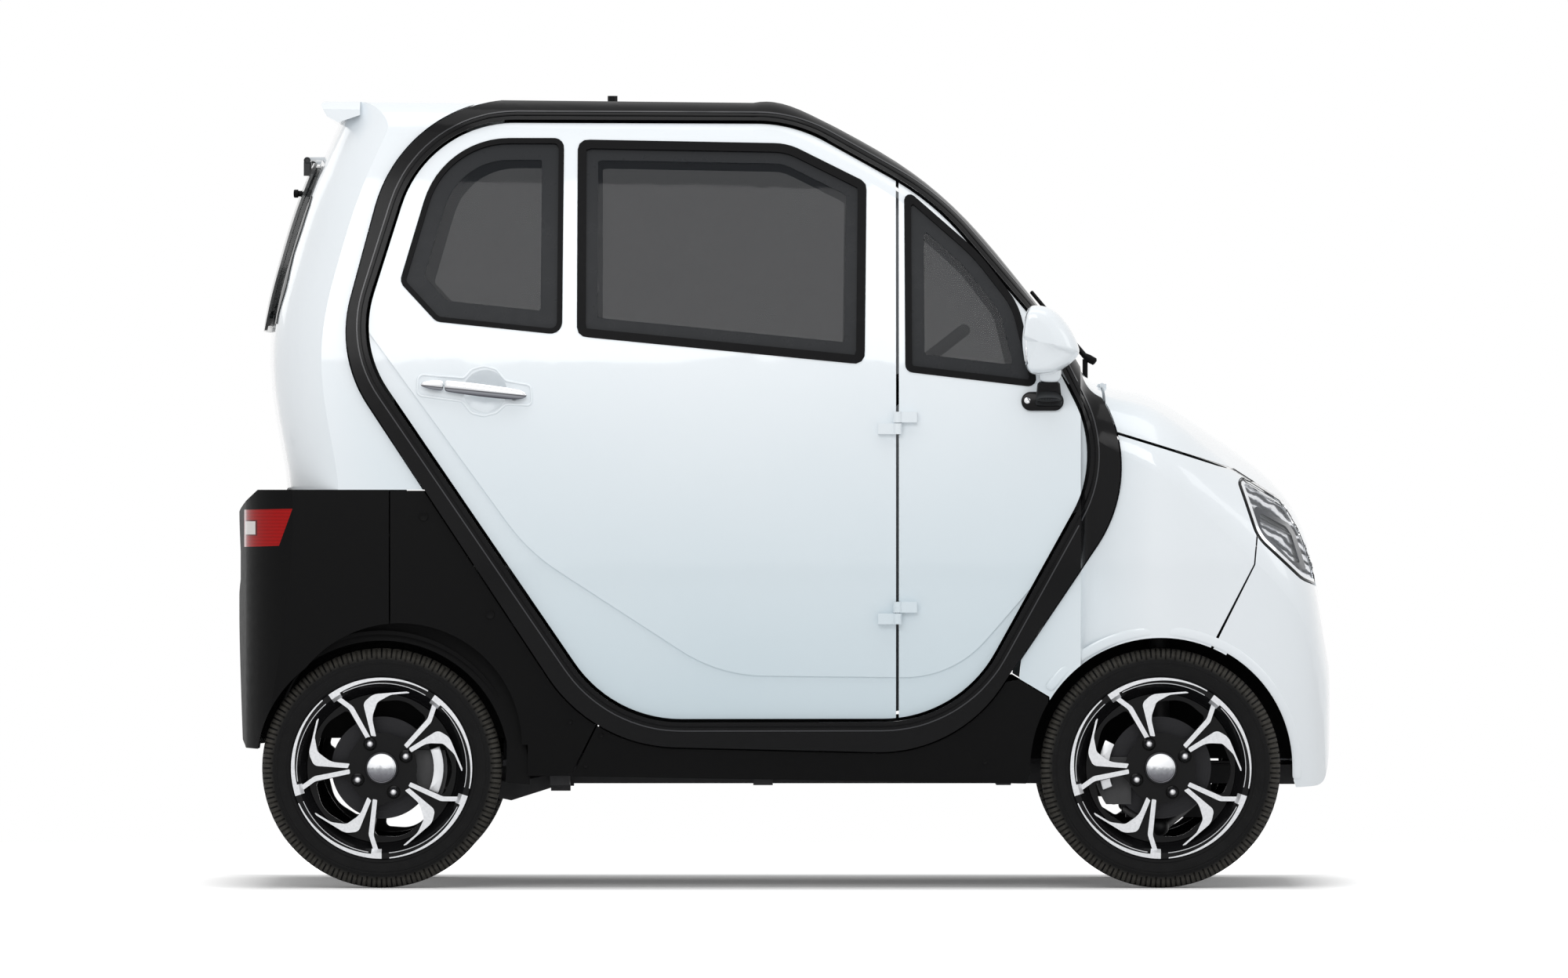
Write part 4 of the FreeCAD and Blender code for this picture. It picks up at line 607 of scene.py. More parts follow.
def ring_piece(name, corners, outer_grow, inner_grow, depth, thickness, count=160):
    """A band on the body's barrel side."""
    return ring(name, corners, (outer_grow, inner_grow),
                lambda point: (point.x, -side_y(point.y, depth), point.y), thickness, count)


mirror_y = Matrix.Scale(-1, 4, Vector((0, 1, 0)))


def pair(piece, finish, bodies, slot, smooth=35):
    """Ends a right-hand piece and adds its left-hand copy."""
    other = copy_of(piece, piece.name.replace("_right", "_left"), mirror_y)
    leave(piece, finish, bodies[0], slot, smooth)
    leave(other, finish, bodies[1], slot, smooth)
    return other


def see(node, x, z, side=-1.0):
    """Side coordinate of a CAD node's outer face at a place in the side view, or None beside it."""
    piece = NODES[node]
    back = piece.matrix_world.inverted()
    start = back @ Vector((x, side, z))
    hit, place, normal, index = piece.ray_cast(start, back.to_3x3() @ Vector((0, -side, 0)))
    return (piece.matrix_world @ place).y if hit else None


def on_skin(node, x, z, towards, depth=0.0):
    """A place on a node's right face; a place beside the node slides towards its middle until it is met."""
    for k in range(20):
        y = see(node, x, z)
        if y is not None:
            return Vector((x, y + depth, z))
        x += (towards[0] * MM - x) * 0.06
        z += (towards[1] * MM - z) * 0.06
    return Vector((x, -side_y(z), z))


def lathe(name, points, steps, axis="Y", place=(0, 0, 0)):
    """A turned solid; points are radius and height in mm along the axis, from one end to the other."""
    spots = {"Y": lambda r, h: (r, h, 0), "X": lambda r, h: (h, r, 0), "Z": lambda r, h: (r, 0, h)}[axis]
    turn = {"Y": (0, 1, 0), "X": (1, 0, 0), "Z": (0, 0, 1)}[axis]
    piece = chain(name, [Vector(spots(r * MM, h * MM)) for r, h in points])
    bpy.ops.mesh.select_all(action="SELECT")
    bpy.ops.mesh.spin(steps=steps, angle=math.radians(360), center=(0, 0, 0), axis=turn)
    close_up()
    bpy.ops.mesh.select_all(action="SELECT")
    bpy.ops.transform.translate(value=Vector(place))
    bpy.ops.object.mode_set(mode="OBJECT")
    return piece


def together(name, pieces):
    """Joins pieces into one object."""
    bpy.ops.object.select_all(action="DESELECT")
    for piece in pieces:
        piece.select_set(True)
    bpy.context.view_layer.objects.active = pieces[0]
    bpy.ops.object.join()
    pieces[0].name = name
    return pieces[0]


def smooth_loop(places, count):
    """Points evenly along a closed curve through a few places."""
    total = len(places)
    dense = []
    for i in range(total):
        a, b, c, d = (Vector(places[(i + k) % total]) for k in (-1, 0, 1, 2))
        for k in range(10):
            t = k / 10
            dense.append(0.5 * (2 * b + (c - a) * t + (2 * a - 5 * b + 4 * c - d) * t * t
                                + (3 * b - a - 3 * c + d) * t ** 3))
    return evenly(dense, count)


def loft(name, loops, level=0):
    """A closed skin over a row of loops with one count of points; both ends are filled."""
    begin()
    piece = together(name, [closed_line(loop) for loop in loops])
    count = len(loops[0])
    bpy.ops.object.mode_set(mode="EDIT")
    bpy.ops.mesh.select_mode(type="VERT")
    for k in range(len(loops) - 1):
        bpy.ops.mesh.select_all(action="DESELECT")
        mesh = bmesh.from_edit_mesh(piece.data)
        mesh.verts.ensure_lookup_table()
        for j in range(count * k, count * (k + 2)):
            mesh.verts[j].select_set(True)
        mesh.select_flush(True)
        for edge in mesh.edges:
            a, b = (v.index // count for v in edge.verts)
            if a != b:
                edge.select_set(False)
        bmesh.update_edit_mesh(piece.data)
        bpy.ops.mesh.bridge_edge_loops()
    for k in (0, len(loops) - 1):
        bpy.ops.mesh.select_all(action="DESELECT")
        mesh = bmesh.from_edit_mesh(piece.data)
        mesh.verts.ensure_lookup_table()
        for j in range(count * k, count * (k + 1)):
            mesh.verts[j].select_set(True)
        mesh.select_flush(True)
        bmesh.update_edit_mesh(piece.data)
        bpy.ops.mesh.edge_face_add()
    close_up()
    bpy.ops.object.mode_set(mode="OBJECT")
    if level:
        apply_modifier(piece, "SUBSURF", levels=level, render_levels=level)
    return piece


def round_edges(piece, width, segments):
    """Bevels the edges that turn by more than 40 degrees."""
    apply_modifier(piece, "BEVEL", width=width, segments=segments, limit_method="ANGLE",
                   angle_limit=math.radians(40))


def plate(name, loop, push, bevel=0.0, segments=2):
    """A flat or curved plate: an outline in space, filled and pushed to a thickness."""
    begin()
    piece = closed_line(loop, "NGON")
    piece.name = name
    edit_all()
    extrude(push)
    bpy.ops.mesh.select_all(action="SELECT")
    bpy.ops.mesh.normals_make_consistent(inside=False)
    bpy.ops.object.mode_set(mode="OBJECT")
    if bevel:
        round_edges(piece, bevel, segments)
    return piece


def ring_on(name, corners, outer_grow, inner_grow, node, depth, thickness, count=120):
    """A band that lies on a CAD node's right face at a depth."""
    middle = (sum(c[0] for c in corners) / len(corners), sum(c[1] for c in corners) / len(corners))
    return ring(name, corners, (outer_grow, inner_grow),
                lambda point: on_skin(node, point.x, point.y, middle, depth), thickness, count)


# Window surrounds: rubber lip round each pane and the dark printed band on the glass.
DOOR_REAR_WINDOW = [(-697, 1540, 180), (-784, 1245, 20), (-710, 1165, 20), (-454, 1138, 22), (-451, 1540, 18)]
DOOR_MAIN_WINDOW = [(-419, 1537, 18), (11, 1529, 120), (171, 1449, 18), (167, 1077, 18), (-420, 1135, 18)]
QUARTER_WINDOW = [(252, 1436, 10), (400, 1306, 400), (482, 1200, 150), (523, 1030, 14), (254, 1062, 14)]
DOORS = ("door_right", "door_left")
FIXED = ("chassis", "chassis")
for name, corners, bodies, lip, band in (
    ("door_rear_seal_right", DOOR_REAR_WINDOW, DOORS, 9, 34),
    ("door_main_seal_right", DOOR_MAIN_WINDOW, DOORS, 16, 24),
    ("quarter_seal_right", QUARTER_WINDOW, FIXED, 12, 26),
):
    seal = ring_piece(name, corners, 2, -lip, -0.0015, 0.0075)
    pair(seal, rubber, bodies, "satin_black", 40)
    print_band = ring_piece(name.replace("seal", "band"), corners, -lip + 2, -band - lip, 0.0055, 0.0006)
    pair(print_band, frit, bodies, "satin_black", 40)

# Side loops: two fine beads along each band; the lighter one carries a painted highlight.
FRAME_INNER = [
    (-734, 1581, 250), (-879, 1114, 235), (-351, 340, 270), (365, 341, 270), (665, 884, 250),
    (520, 1172, 150), (312, 1417, 550), (24, 1578, 300)]
for name, outer, inner, finish in (("loop_bead_right", 19, 16.5, highlight_bead), ("loop_groove_right", 11, 9, rubber)):
    line = ring_on(name, FRAME_INNER, outer, inner, "side_frames", -0.0016, 0.003, 240)
    pair(line, finish, FIXED, "satin_black", 40)

# Tyres: turned casing with a stepped side wall, cut into shoulder blocks all round.
TYRE_EDGE = [
    (-50, 183), (-55.5, 186.6), (-60, 187.5), (-64, 191), (-64.6, 193), (-63.6, 195), (-66.6, 205),
    (-67.3, 213), (-66.6, 214), (-66.6, 216), (-67.1, 217), (-65.6, 224), (-62, 232), (-57.5, 238),
    (-51, 242.5), (-43, 245), (-36, 246), (-28, 246), (-27.5, 240.5), (-22.5, 240.5), (-22, 246),
    (-4, 246), (-3.5, 240.5)]
PITCH = 5
CORNER_PLACES = {"front_right": (FRONT_AXLE_X, -WHEEL_Y), "front_left": (FRONT_AXLE_X, WHEEL_Y),
                 "rear_right": (REAR_AXLE_X, -WHEEL_Y), "rear_left": (REAR_AXLE_X, WHEEL_Y)}


def to_corner(corner):
    """The matrix that takes a wheel piece, made at the origin with its outside to -Y, to its corner."""
    x, y = CORNER_PLACES[corner]
    place = Matrix.Translation(Vector((x, y, AXLE_Z)))
    return place @ mirror_y if y > 0 else place


def at_corners(piece, name, finish, slot, smooth, replaced=None):
    """Copies a wheel piece to the four corners and deletes the first one."""
    for corner in CORNERS:
        made = copy_of(piece, name + corner, to_corner(corner))
        leave(made, finish, "wheel_" + corner, slot, smooth)
        if replaced:
            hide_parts(replaced + corner)
    bpy.data.objects.remove(piece, do_unlink=True)


tyre_line = [Vector((0, y * MM, r * MM)) for y, r in TYRE_EDGE + [(-y, r) for y, r in reversed(TYRE_EDGE)]]
tyre = chain("tyre_block", tyre_line + tyre_line[:1])
bpy.ops.mesh.select_all(action="SELECT")
bpy.ops.mesh.remove_doubles(threshold=0.00002)
bpy.ops.mesh.select_all(action="SELECT")
bpy.ops.mesh.spin(steps=PITCH, angle=math.radians(PITCH), center=(0, 0, 0), axis=(0, 1, 0))
bpy.ops.mesh.select_all(action="SELECT")
bpy.ops.mesh.remove_doubles(threshold=0.00002)


def shoulder(centre, normal):
    """The faces between two shoulder blocks, which are sunk into a groove."""
    turn = abs(math.degrees(math.atan2(centre.x, centre.z)))
    return 2.0 < turn < 3.0 and abs(centre.y) > 0.0285 and math.hypot(centre.x, centre.z) > 0.2235


faces_where(tyre, shoulder)
extrude((0, 0, 0))
bpy.ops.transform.resize(value=(1.0, 0.93, 0.985), center_override=(0, 0, 0.05))


def tread_slit(centre, normal):
    """The faces on the tread's middle that are sunk into a slit."""
    turn = abs(math.degrees(math.atan2(centre.x, centre.z)))
    return turn < 1.0 and 0.005 < abs(centre.y) < 0.021 and math.hypot(centre.x, centre.z) > 0.244


faces_where(tyre, tread_slit)
extrude((0, 0, -0.0035))
bpy.ops.object.mode_set(mode="OBJECT")
blocks = []
for k in range(360 // PITCH):
    blocks.append(copy_of(tyre, "tyre_block", Matrix.Rotation(math.radians(PITCH * k), 4, "Y")))
bpy.data.objects.remove(tyre, do_unlink=True)
tyre = together("tyre_whole", blocks)
bpy.ops.object.mode_set(mode="EDIT")
close_up()
bpy.ops.object.mode_set(mode="OBJECT")
at_corners(tyre, "tread_", tread_rubber, "tyre", 28, "tyre_")

# Wheel nuts with domed ends, and a plain domed cap.
DOME_LINE = [(0, -58), (8.2, -58), (8.0, -61), (6.4, -64), (3.6, -66), (0, -66.6)]
nuts = []
for k in range(4):
    a = math.radians(26 + 90 * k)
    spot = (NUT_CIRCLE * math.cos(a), 0, NUT_CIRCLE * math.sin(a))
    flanks = lathe("nut_flanks", [(0, -42), (10.6, -42), (10.6, -57), (9.4, -59), (0, -59)], 6, "Y", spot)
    dome = lathe("nut_dome", DOME_LINE, 20, "Y", spot)
    seat_ring = lathe("nut_seat", [(10, -43), (14, -43), (13.2, -45.5), (10, -46.5)], 20, "Y", spot)
    nuts += [flanks, dome, seat_ring]
at_corners(together("nuts", nuts), "wheel_nuts_", wheel_alloy, "chrome", 30)
CAP_LINE = [
    (0, -43), (34, -43), (34, -58), (33, -60.5), (30.5, -61.5), (29.3, -60.6), (28.3, -60.6),
    (27.4, -62.2), (20, -64.2), (11, -65.4), (0, -65.8)]
cap = lathe("cap", CAP_LINE, 56)
at_corners(cap, "wheel_cap_", wheel_alloy, "chrome", 40)

# Door mirrors: moulded white housing with a tucked lower half, black foot with two screws, glass to the rear.
MIRROR_EDGE = [
    (507, 1194), (528, 1195), (547, 1190), (565, 1178), (582, 1158), (596, 1136), (605, 1115),
    (608.5, 1101), (602, 1088), (588, 1075), (574, 1065), (556, 1056), (524, 1053), (509, 1056),
    (500, 1066), (495.5, 1086), (492, 1111), (491.5, 1131), (494, 1152), (498.5, 1178)]


def foot_loop_at(x0, x1, y, half, z, tilt=0):
    """A rounded loop of the mirror's neck or stem at a height, in mm; the tilt lifts its outer side."""
    corners = ((x0, -1), (x1, -1), (x1, 1), (x0, 1))
    return smooth_loop([(x * MM, (y + half * side) * MM, (z - tilt * side) * MM) for x, side in corners], 24)


# Each slice of the housing: its side coordinate and its share of the full outline.
MIRROR_SLICES = [
    (-588, 0.6), (-590, 0.72), (-598, 0.87), (-612, 0.96), (-634, 1.0), (-656, 1.0), (-676, 0.96),
    (-690, 0.87), (-699, 0.74), (-703, 0.6)]
MIRROR_X = 497
MIRROR_Z = 1118
mirror_loops = []
for y, size in MIRROR_SLICES:
    tall = 0.4 + 0.6 * size
    places = []
    for x, z in MIRROR_EDGE:
        wide = MIRROR_X + (x - MIRROR_X) * size
        high = MIRROR_Z + (z - MIRROR_Z) * tall
        places.append((wide * MM, y * MM, high * MM))
    mirror_loops.append(smooth_loop(places, 56))
shell = loft("mirror_housing_right", mirror_loops, 1)

# The outer end is tucked in below a slanting crease, and the rear face has a pocket for the glass.
CREASE_Z = 1.1335
CREASE_SLOPE = 0.30
TUCK_START = -0.64
TUCK = 0.011
TUCK_RUN = 0.03
POCKET_BEHIND = 0.508
POCKET_HALF_WIDTH = 0.0425
POCKET_HALF_HEIGHT = 0.0475
POCKET = 0.008
for vertex in shell.data.vertices:
    crease = CREASE_Z - (vertex.co.x - 0.492) * CREASE_SLOPE
    under = min(1.0, max(0.0, (crease - vertex.co.z) / 0.008))
    if vertex.co.y < TUCK_START:
        vertex.co.y += TUCK * under * min(1.0, (TUCK_START - vertex.co.y) / TUCK_RUN)
for vertex in shell.data.vertices:
    if vertex.co.x < POCKET_BEHIND:
        inside = min(POCKET_HALF_WIDTH - abs(vertex.co.y + 0.6485), POCKET_HALF_HEIGHT - abs(vertex.co.z - 1.12))
        vertex.co.x += POCKET * min(1.0, max(0.0, inside / 0.005))

# Neck and stem: rear and front edge, middle, half width, height and tilt.
NECK = [
    (529, 567, -640, 20, 1075), (529, 567, -632, 17, 1056), (530, 566, -626, 15, 1046),
    (534, 562, -623, 13, 1036)]
STEM = [
    (527, 564, -623, 14, 1042, 0), (526, 565, -621, 14, 1030, 2), (525, 566, -612, 15, 1014, 6),
    (524, 568, -594, 14, 998, 8), (522, 570, -578, 10, 994, 8)]
neck = loft("mirror_neck", [foot_loop_at(*row) for row in NECK], 1)
shell = together("mirror_housing_right", [shell, neck])
pair(shell, paint, FIXED, "body_white", 40)
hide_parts("mirrors")

# Mirror glass, stem, foot and screws.
GLASS_EDGE = [
    (-0.692, 1.07), (-0.605, 1.07), (-0.598, 1.118), (-0.61, 1.172), (-0.69, 1.172), (-0.698, 1.118)]
GLASS_SHARE = 0.86
glass_places = []
for y, z in GLASS_EDGE:
    glass_places.append((0.4995, -0.648 + (y + 0.648) * GLASS_SHARE, 1.12 + (z - 1.12) * GLASS_SHARE))
glass_loop = smooth_loop(glass_places, 40)
pair(plate("mirror_glass_right", glass_loop, (-0.0025, 0, 0), 0.0005), mirror_chrome, FIXED, "reflector", 40)
stem = loft("mirror_stem_right", [foot_loop_at(*row) for row in STEM], 1)
FOOT = [(490, 1019, 19), (577, 1019, 19), (577, 980, 19), (490, 980, 19)]
foot_loop = [on_skin("front_side_panels", p.x, p.y, (534, 1000), -0.0002) for p in outline(FOOT, 56)]
foot = plate("mirror_foot", foot_loop, (0, -0.009, 0), 0.003, 3)
pair(together("mirror_stem_right", [stem, foot]), gloss_black, FIXED, "gloss_black", 40)
SCREW_LINE = [(0, 0), (6.4, 0), (6.2, -1.6), (4.8, -2.8), (2.6, -3.2), (2.2, -1.6), (0, -1.6)]
screws = []
for x, z in ((502, 1001), (566, 999.5)):
    skin_y = on_skin("front_side_panels", x * MM, z * MM, (534, 1000)).y - 0.009
    screws.append(lathe("mirror_screw", SCREW_LINE, 20, "Y", (x * MM, skin_y, z * MM)))
pair(together("mirror_screws_right", screws), chrome, FIXED, "chrome", 40)

# Door handles: chromed pull with its key cap, in a moulded surround.
PULL = [
    (-693, 1031.5, 11.3), (-688, 1030.7, 12), (-660, 1027.5, 13), (-620, 1022.5, 13.6),
    (-580, 1017.5, 13), (-548, 1014, 11.5), (-534, 1012.8, 9), (-527, 1012.4, 5.5), (-524.5, 1012.3, 2)]
KEY_CAP = [
    (-742, 1034.2, 1.5), (-740.5, 1034.2, 3.5), (-735, 1034, 6.5), (-722, 1033.4, 9.3),
    (-705, 1032.3, 11), (-694.6, 1031.6, 11.3)]


def grip_loops(stations):
    """Oval loops along a grip that stands off the door; stations are x, z and half height in mm."""
    loops = []
    for x, z, half in stations:
        centre_y = -side_y(z * MM) - 0.016
        deep = 0.0075 * (half / 13.6) ** 0.5
        loop = []
        for k in range(24):
            t = 2 * math.pi * k / 24
            loop.append(Vector((x * MM, centre_y - deep * math.cos(t), (z + half * math.sin(t)) * MM)))
        loops.append(loop)
    return loops


grips = [loft("door_pull", grip_loops(PULL), 1), loft("key_cap", grip_loops(KEY_CAP), 1)]
pull = together("door_pull_right", grips)
posts = []
for x, z in ((-716, 1033), (-548, 1014)):
    post = []
    for a, b in ((-11, -7), (11, -7), (11, 7), (-11, 7)):
        post.append(((x + a) * MM, -side_y(z * MM) + 0.001, (z + b) * MM))
    posts.append(plate("pull_post", smooth_loop(post, 24), (0, -0.014, 0)))
pull = together("door_pull_right", [pull] + posts)
left_pull = pair(pull, pull_chrome, DOORS, "chrome", 40)
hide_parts("door_handle_right")
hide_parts("door_handle_left")
SURROUND = [
    (-750, 1058, 14), (-655, 1050, 8), (-638, 1068, 12), (-613, 1075, 24), (-586, 1068, 12),
    (-566, 1044, 8), (-514, 1035, 12), (-511, 989, 12), (-566, 991, 8), (-586, 974, 12), (-613, 967, 24),
    (-640, 974, 12), (-658, 997, 8), (-752, 1010, 14)]
surround = ring_piece("handle_surround_right", SURROUND, 0, -5, -0.0022, 0.004, 200)
round_edges(surround, 0.0012, 2)
pair(surround, paint, DOORS, "body_white", 40)

# Headlamps: bezel, edge line and dark inner mask.
LAMP = [(930, 858, 12), (1085, 765, 60), (1155, 600, 10), (1068, 634, 60), (975, 720, 90)]
MASK = [
    (971, 786, 4), (1043, 749, 8), (1056, 730, 8), (1080, 650, 4), (1014, 676, 12), (985, 704, 12),
    (973, 748, 6)]
for name, corners, outer, inner, depth, thickness, count, finish, slot in (
    ("lamp_bezel_right", LAMP, -3, -10, 0.0055, 0.003, 120, mirror_chrome, "reflector"),
    ("lamp_edge_right", LAMP, -0.6, -4.2, -0.0008, 0.0015, 120, gloss_black, "gloss_black"),
    ("lamp_mask_right", MASK, 0, -9, 0.0065, 0.003, 90, smoke_chrome, "reflector"),
):
    band = ring_on(name, corners, outer, inner, "headlamp_lenses", depth, thickness, count)
    pair(band, finish, FIXED, slot, 40)

# Bars inside the lamp: both ends and the half width.
LAMP_BARS = [
    (976, 776, 1042, 742, 2.2), (977, 767, 1045, 733, 2.2), (977, 757, 1046, 726, 2.2),
    (986, 730, 1062, 655, 3.4), (984, 716, 1046, 662, 2.4)]
bars = []
for x0, z0, x1, z1, half in LAMP_BARS:
    away = Vector((x1 - x0, z1 - z0)).normalized()
    cross = Vector((-away.y, away.x)) * half
    ends = ((x0, z0, 1), (x1, z1, 1), (x1, z1, -1), (x0, z0, -1))
    line = [(x + cross.x * side, z + cross.y * side) for x, z, side in ends]
    loop = [on_skin("headlamp_lenses", x * MM, z * MM, (1020, 720), 0.0075) for x, z in line]
    bars.append(plate("lamp_bar", loop, (0, 0.006, 0), 0.0008))
pair(together("lamp_bars_right", bars), smoke_chrome, FIXED, "reflector", 30)

# Rear wheel arches: black filler between the arch edge and the housing, set back behind the quarter.
ARCH_X = -785
ARCH_Z = 294
ARCH_RADIUS = 257
FILLER_Y = -0.5165
REAR_AXLE = (-823, 246)
fill_outer = [(-519, 212), (-519, 236)]
for a in range(2, 172, 5):
    turn = math.radians(a)
    fill_outer.append((ARCH_X + ARCH_RADIUS * math.cos(turn), ARCH_Z + ARCH_RADIUS * math.sin(turn)))
fill_inner = []
for x, z in fill_outer:
    away = Vector((x - REAR_AXLE[0], z - REAR_AXLE[1]))
    near = 255.5 if z < 300 and x > -600 else 262.0
    away = away.normalized() * min(near, away.length - 4)
    fill_inner.append((REAR_AXLE[0] + away.x, REAR_AXLE[1] + away.y))
begin()
bpy.ops.mesh.primitive_grid_add(x_subdivisions=len(fill_outer) - 1, y_subdivisions=1, size=0.1)
filler = bpy.context.object
filler.name = "arch_filler_right"
half = len(fill_outer)
for k in range(half):
    for row, places in ((0, fill_inner), (1, fill_outer)):
        x, z = places[k]
        filler.data.vertices[row * half + k].co = (x * MM, FILLER_Y, z * MM)
turn_sheet(filler, 1)
apply_modifier(filler, "SOLIDIFY", thickness=0.003, offset=0)
pair(filler, satin_black, FIXED, "satin_black", 40)

# Front wheel arches: a rolled lip round the opening, over the seam of fender and bumper.
LIP_STEPS = 45
lip_rows = [[], [], []]
for k in range(LIP_STEPS):
    a = math.radians(-6 + 152 * k / (LIP_STEPS - 1))
    for row, radius, lift in ((0, 269.5, 0.0025), (1, 283, 0.0032), (2, 296, 0.0006)):
        x = FRONT_AXLE_X + radius * MM * math.cos(a)
        z = AXLE_Z + radius * MM * math.sin(a)
        for back in range(13):
            wide = radius * MM + 0.002 * back
            spot = (FRONT_AXLE_X + wide * math.cos(a), AXLE_Z + wide * math.sin(a))
            seen = [y for y in (see("front_fenders", *spot), see("front_bumper", *spot)) if y is not None]
            if seen:
                break
        if seen:
            lip_rows[row].append((x, min(seen) - lift, z))
        else:
            lip_rows[row].append(None)
whole = [k for k in range(LIP_STEPS) if all(row[k] for row in lip_rows)]
for row in lip_rows:
    sides = [row[k][1] for k in whole]
    for place, k in enumerate(whole):
        near = sorted(sides[max(0, place - 3):place + 4])
        row[k] = (row[k][0], near[len(near) // 2], row[k][2])
begin()
bpy.ops.mesh.primitive_grid_add(x_subdivisions=len(whole) - 1, y_subdivisions=2, size=0.1)
arch_lip = bpy.context.object
arch_lip.name = "arch_lip_right"
for place, k in enumerate(whole):
    for row in range(3):
        arch_lip.data.vertices[row * len(whole) + place].co = lip_rows[row][k]
turn_sheet(arch_lip, 1)
apply_modifier(arch_lip, "SMOOTH", factor=0.5, iterations=3)
apply_modifier(arch_lip, "SOLIDIFY", thickness=0.0028, offset=-1)
apply_modifier(arch_lip, "SUBSURF", levels=1, render_levels=1)
pair(arch_lip, paint, FIXED, "body_white", 50)

# Tail: dark glass that wraps round the body's corners beside the lid, and the lid's two knobs.
WING_ROWS = 14
WING_COLUMNS = 8
WING_EDGE = [
    (1158, -1042), (1177.4, -1039.3), (1235, -1022.5), (1302.8, -1008), (1370.3, -986.3),
    (1418.6, -971.8), (1447.5, -969.4)]
WING_LOW = 1160
WING_HIGH = 1424


def tail_skin(turn, z):
    """The body's face seen from outside along a ray towards the cabin's rear, or None."""
    piece = NODES["rear_body"]
    back = piece.matrix_world.inverted()
    middle = Vector((-0.88, -0.35, z))
    away = Vector((-math.cos(turn), -math.sin(turn), 0))
    start = back @ (middle + away * 0.5)
    hit, place, normal, index = piece.ray_cast(start, back.to_3x3() @ -away, distance=0.5)
    return piece.matrix_world @ place + away * 0.003 if hit else None


def wing_edge(z):
    """How far forward the glass reaches at a height, in mm."""
    for low, high in zip(WING_EDGE, WING_EDGE[1:]):
        if low[0] <= z <= high[0]:
            share = (z - low[0]) / (high[0] - low[0])
            return low[1] + (high[1] - low[1]) * share
    return WING_EDGE[-1][1]


begin()
bpy.ops.mesh.primitive_grid_add(x_subdivisions=WING_COLUMNS, y_subdivisions=WING_ROWS, size=0.1)
wing = bpy.context.object
wing.name = "tail_wing_right"
for row in range(WING_ROWS + 1):
    z = WING_LOW + (WING_HIGH - WING_LOW) * row / WING_ROWS
    found = []
    for k in range(91):
        spot = tail_skin(math.radians(k), z * MM)
        if spot is not None and spot.x / MM < wing_edge(z) and spot.y < -0.34:
            found.append(spot)
    for column in range(WING_COLUMNS + 1):
        place = (len(found) - 1) * column / WING_COLUMNS
        low = int(place)
        high = min(low + 1, len(found) - 1)
        spot = found[low] + (found[high] - found[low]) * (place - low)
        wing.data.vertices[row * (WING_COLUMNS + 1) + column].co = spot
turn_sheet(wing, 0)
apply_modifier(wing, "SOLIDIFY", thickness=0.0025, offset=-1)
pair(wing, lid_glass, FIXED, "dark_glass", 40)

lid = NODES["rear_hatch"]
lid_back = lid.matrix_world.inverted()
KNOB_LINE = [(0, 1), (6, 1), (6, -7), (8.5, -8), (8.5, -15), (7, -17), (0, -17.6)]
knobs = []
for y in (-0.27, 0.27):
    start = lid_back @ Vector((-1.6, y, 1.4306))
    hit, place, normal, index = lid.ray_cast(start, lid_back.to_3x3() @ Vector((1, 0, 0)))
    if hit:
        knobs.append(lathe("lid_knob", KNOB_LINE, 24, "X", lid.matrix_world @ place))
if knobs:
    leave(together("lid_knobs", knobs), satin_black, "rear_hatch", "satin_black", 40)

# Brake calipers: plain castings over the disc, ahead of the axle at the rear and behind it at the front.
CALIPER_OUTER = 127
CALIPER_INNER = 106
CALIPER_Y = -0.0215
caliper_line = []
for radius, sweep in ((CALIPER_OUTER, range(-24, 25, 6)), (CALIPER_INNER, range(24, -25, -6))):
    for a in sweep:
        turn = math.radians(a - 3)
        caliper_line.append(Vector((radius * MM * math.cos(turn), CALIPER_Y, radius * MM * math.sin(turn))))
for corner in CORNERS:
    made = plate("caliper_face_" + corner, caliper_line, (0, 0.007, 0), 0.0018, 2)
    if "front" in corner:
        made.data.transform(Matrix.Rotation(math.pi, 4, "Y"))
    made.data.transform(to_corner(corner))
    if corner.endswith("left"):
        made.data.flip_normals()
    hub = "knuckle" + corner[5:] if "front" in corner else "chassis"
    leave(made, machined, hub, "cast_parts", 40)

# Rear quarter and sill: blind plugs.
PLUGS = [
    ("rear_bumper", -736, 763, 10), ("rear_quarters", -736, 763, 10), ("side_frames", -600, 562, 10),
    ("rear_quarters", -600, 562, 10), ("side_frames", -436, 341, 5.5), ("sills", -372, 313, 5.5),
    ("sills", -404, 251, 5.5), ("sills", 416, 258, 5.5), ("rear_quarters", -436, 341, 5.5)]
plugs = []
for node, x, z, radius in PLUGS:
    y = see(node, x * MM, z * MM)
    if y is not None and y < -0.48:
        line = [(0, 1), (radius, 1), (radius, -1.2), (radius - 1.5, -2.2), (radius - 3, -1.4), (0, -1.4)]
        plugs.append(lathe("plug", line, 20, "Y", (x * MM, y, z * MM)))
pair(together("trim_plugs_right", plugs), satin_black, FIXED, "satin_black", 40)

# Upholstery: filled pads, blown up a little inside their covers, with sewn channels.
PAD_VOXEL = 0.010
PAD_PRESSURE = 4.0
PAD_STEPS = 20
STITCH_HALF = 0.009


